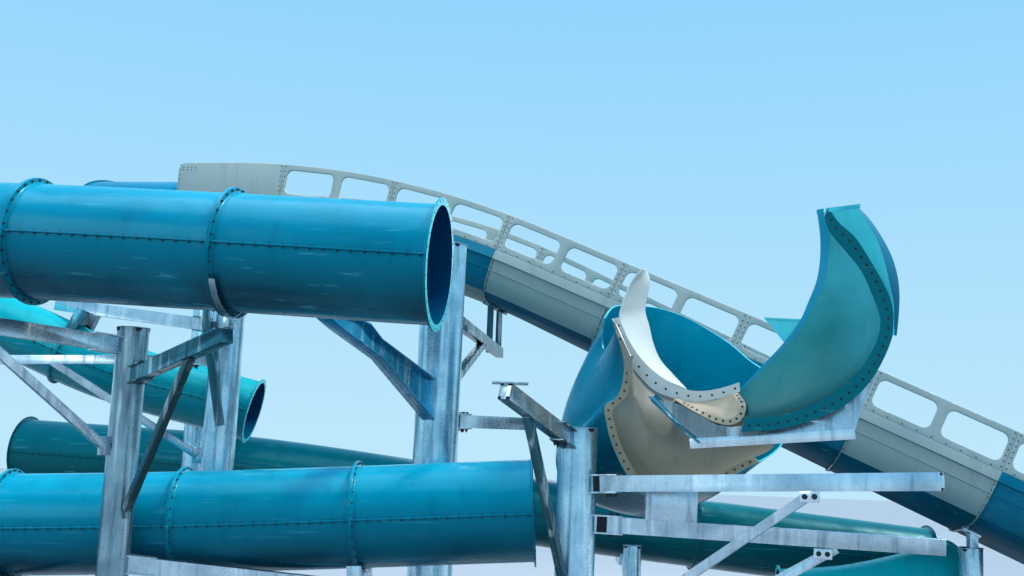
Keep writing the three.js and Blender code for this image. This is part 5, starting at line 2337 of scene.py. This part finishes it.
@dataclass
class Studio:
    """A plain pale floor, soft lights and the photograph's viewpoint."""

    eye: Place = (1.06, -15.9, 4.6)
    pitch: float = math.radians(8.3)
    roll: float = 0.037
    focal_pixels: float = 1044.0
    frame_width: float = 1024.0
    sensor: float = 36.0
    far_clip: float = 200
    floor_half: float = 90
    floor_drop: float = 0.002
    floor_colours: tuple[Colour, Colour] = ((0.4, 0.42, 0.43), (0.46, 0.47, 0.48))
    floor_roughness: float = 0.7
    sky_stops: tuple[tuple[float, Colour], ...] = (
        (0.0, (0.52, 0.82, 1.0)), (0.45, (0.27, 0.66, 1.0)), (1.0, (0.14, 0.42, 0.95)),
    )
    sky_strength: float = 0.98
    lamps: tuple[Lamp, ...] = (
        Lamp("key", (0.0, 0.0, 0.0), math.radians(9), 3.1, (1.0, 0.97, 0.9), (-0.55, -0.12, -0.8), "SUN"),
        Lamp("overhead", (-3.0, -4.0, 22.0), 16, 1500, (1.0, 0.98, 0.94)),
        Lamp("front_left", (-16.0, -18.0, 14.0), 10, 900, (0.92, 0.97, 1.0)),
        Lamp("behind", (4.0, 24.0, 15.0), 12, 700, (0.95, 0.98, 1.0)),
    )

    def camera(self) -> None:
        """Sets the camera where the photograph was taken from."""
        data = bpy.data.cameras.new("photo_view")
        data.sensor_width = self.sensor
        data.lens = self.focal_pixels / self.frame_width * self.sensor
        data.clip_end = self.far_clip
        camera = add_object("photo_view", data)
        level = Vector((1.0, 0.0, 0.0))
        steep = Vector((0.0, -math.sin(self.pitch), math.cos(self.pitch)))
        right = level * math.cos(self.roll) + steep * math.sin(self.roll)
        up = steep * math.cos(self.roll) - level * math.sin(self.roll)
        turn = Matrix((right, up, right.cross(up))).transposed()
        camera.matrix_world = Matrix.Translation(self.eye) @ turn.to_4x4()
        bpy.context.scene.camera = camera

    def floor(self) -> None:
        """Lays the floor."""
        bm = bmesh.new()
        bmesh.ops.create_grid(bm, x_segments=1, y_segments=1, size=self.floor_half)
        mesh = bpy.data.meshes.new("studio_floor")
        bm.to_mesh(mesh)
        bm.free()
        recipe = Recipe("studio_floor_paint")
        recipe.shade({
            "Base Color": recipe.mix(recipe.noise(FLOOR_CLOUDS), *self.floor_colours),
            "Roughness": self.floor_roughness,
        })
        mesh.materials.append(recipe.material)
        ground = add_object("studio_floor", mesh)
        ground.location.z = -self.floor_drop
        ground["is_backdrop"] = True

    def sky(self) -> None:
        """Fills the room with an even light, blue from above and pale at the horizon."""
        world = bpy.data.worlds.new("studio_sky")
        world.use_nodes = True
        tree = world.node_tree
        split = tree.nodes.new("ShaderNodeSeparateXYZ")
        tree.links.new(tree.nodes.new("ShaderNodeTexCoord").outputs["Generated"], split.inputs["Vector"])
        ramp = tree.nodes.new("ShaderNodeValToRGB")
        elements = ramp.color_ramp.elements
        elements.new(self.sky_stops[1][0])
        for element, (position, colour) in zip(elements, self.sky_stops):
            element.position = position
            element.color = (*colour, 1.0)
        tree.links.new(split.outputs["Z"], ramp.inputs["Fac"])
        tree.links.new(ramp.outputs["Color"], tree.nodes["Background"].inputs["Color"])
        tree.nodes["Background"].inputs["Strength"].default_value = self.sky_strength
        bpy.context.scene.world = world

    def build(self) -> None:
        """Makes the studio."""
        self.camera()
        self.floor()
        self.sky()
        for lamp in self.lamps:
            lamp.build()
        bpy.context.scene.view_settings.view_transform = "Standard"


def record_sizes() -> None:
    """Works out the frame's box and the finished model's box side by side, and keeps neither."""
    boxes = {"cad": CAD_BOX, "visual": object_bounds()}
    {name: [list(corner) for corner in box] for name, box in boxes.items()}


def main() -> None:
    """Builds the slide's finish in order, from the tubes to the studio."""
    logging.basicConfig(level=logging.INFO, format="%(message)s")
    for run in (
        TubeRun("upper_tube", RAFT_TUBE, TRACKS["upper"], TURQUOISE, Slot.TURQUOISE),
        TubeRun("lower_tube", RAFT_TUBE, TRACKS["lower"], TURQUOISE, Slot.TURQUOISE),
        TubeRun("rear_tube", RAFT_TUBE, TRACKS["rear"], DEEP_TEAL, Slot.TEAL, 20),
        TubeRun("body_slide_tube", BODY_TUBE, TRACKS["body"], TEAL, Slot.TEAL, 16),
        TubeRun("exit_tube", RAFT_TUBE, TRACKS["exit"], TEAL, Slot.TEAL, 14),
    ):
        run.build()
    RaftTrough(TRACKS["trough"]).build()
    for side in Side:
        GuardRail(TRACKS["trough"], side).build()
    Steelwork().build()
    Haunch().build()
    dress_tubes()
    for column in COLUMNS.values():
        column.build()
    dress_arms()
    BankedBowl().build()
    Studio().build()


if __name__ == "__main__":
    main()
    record_sizes()
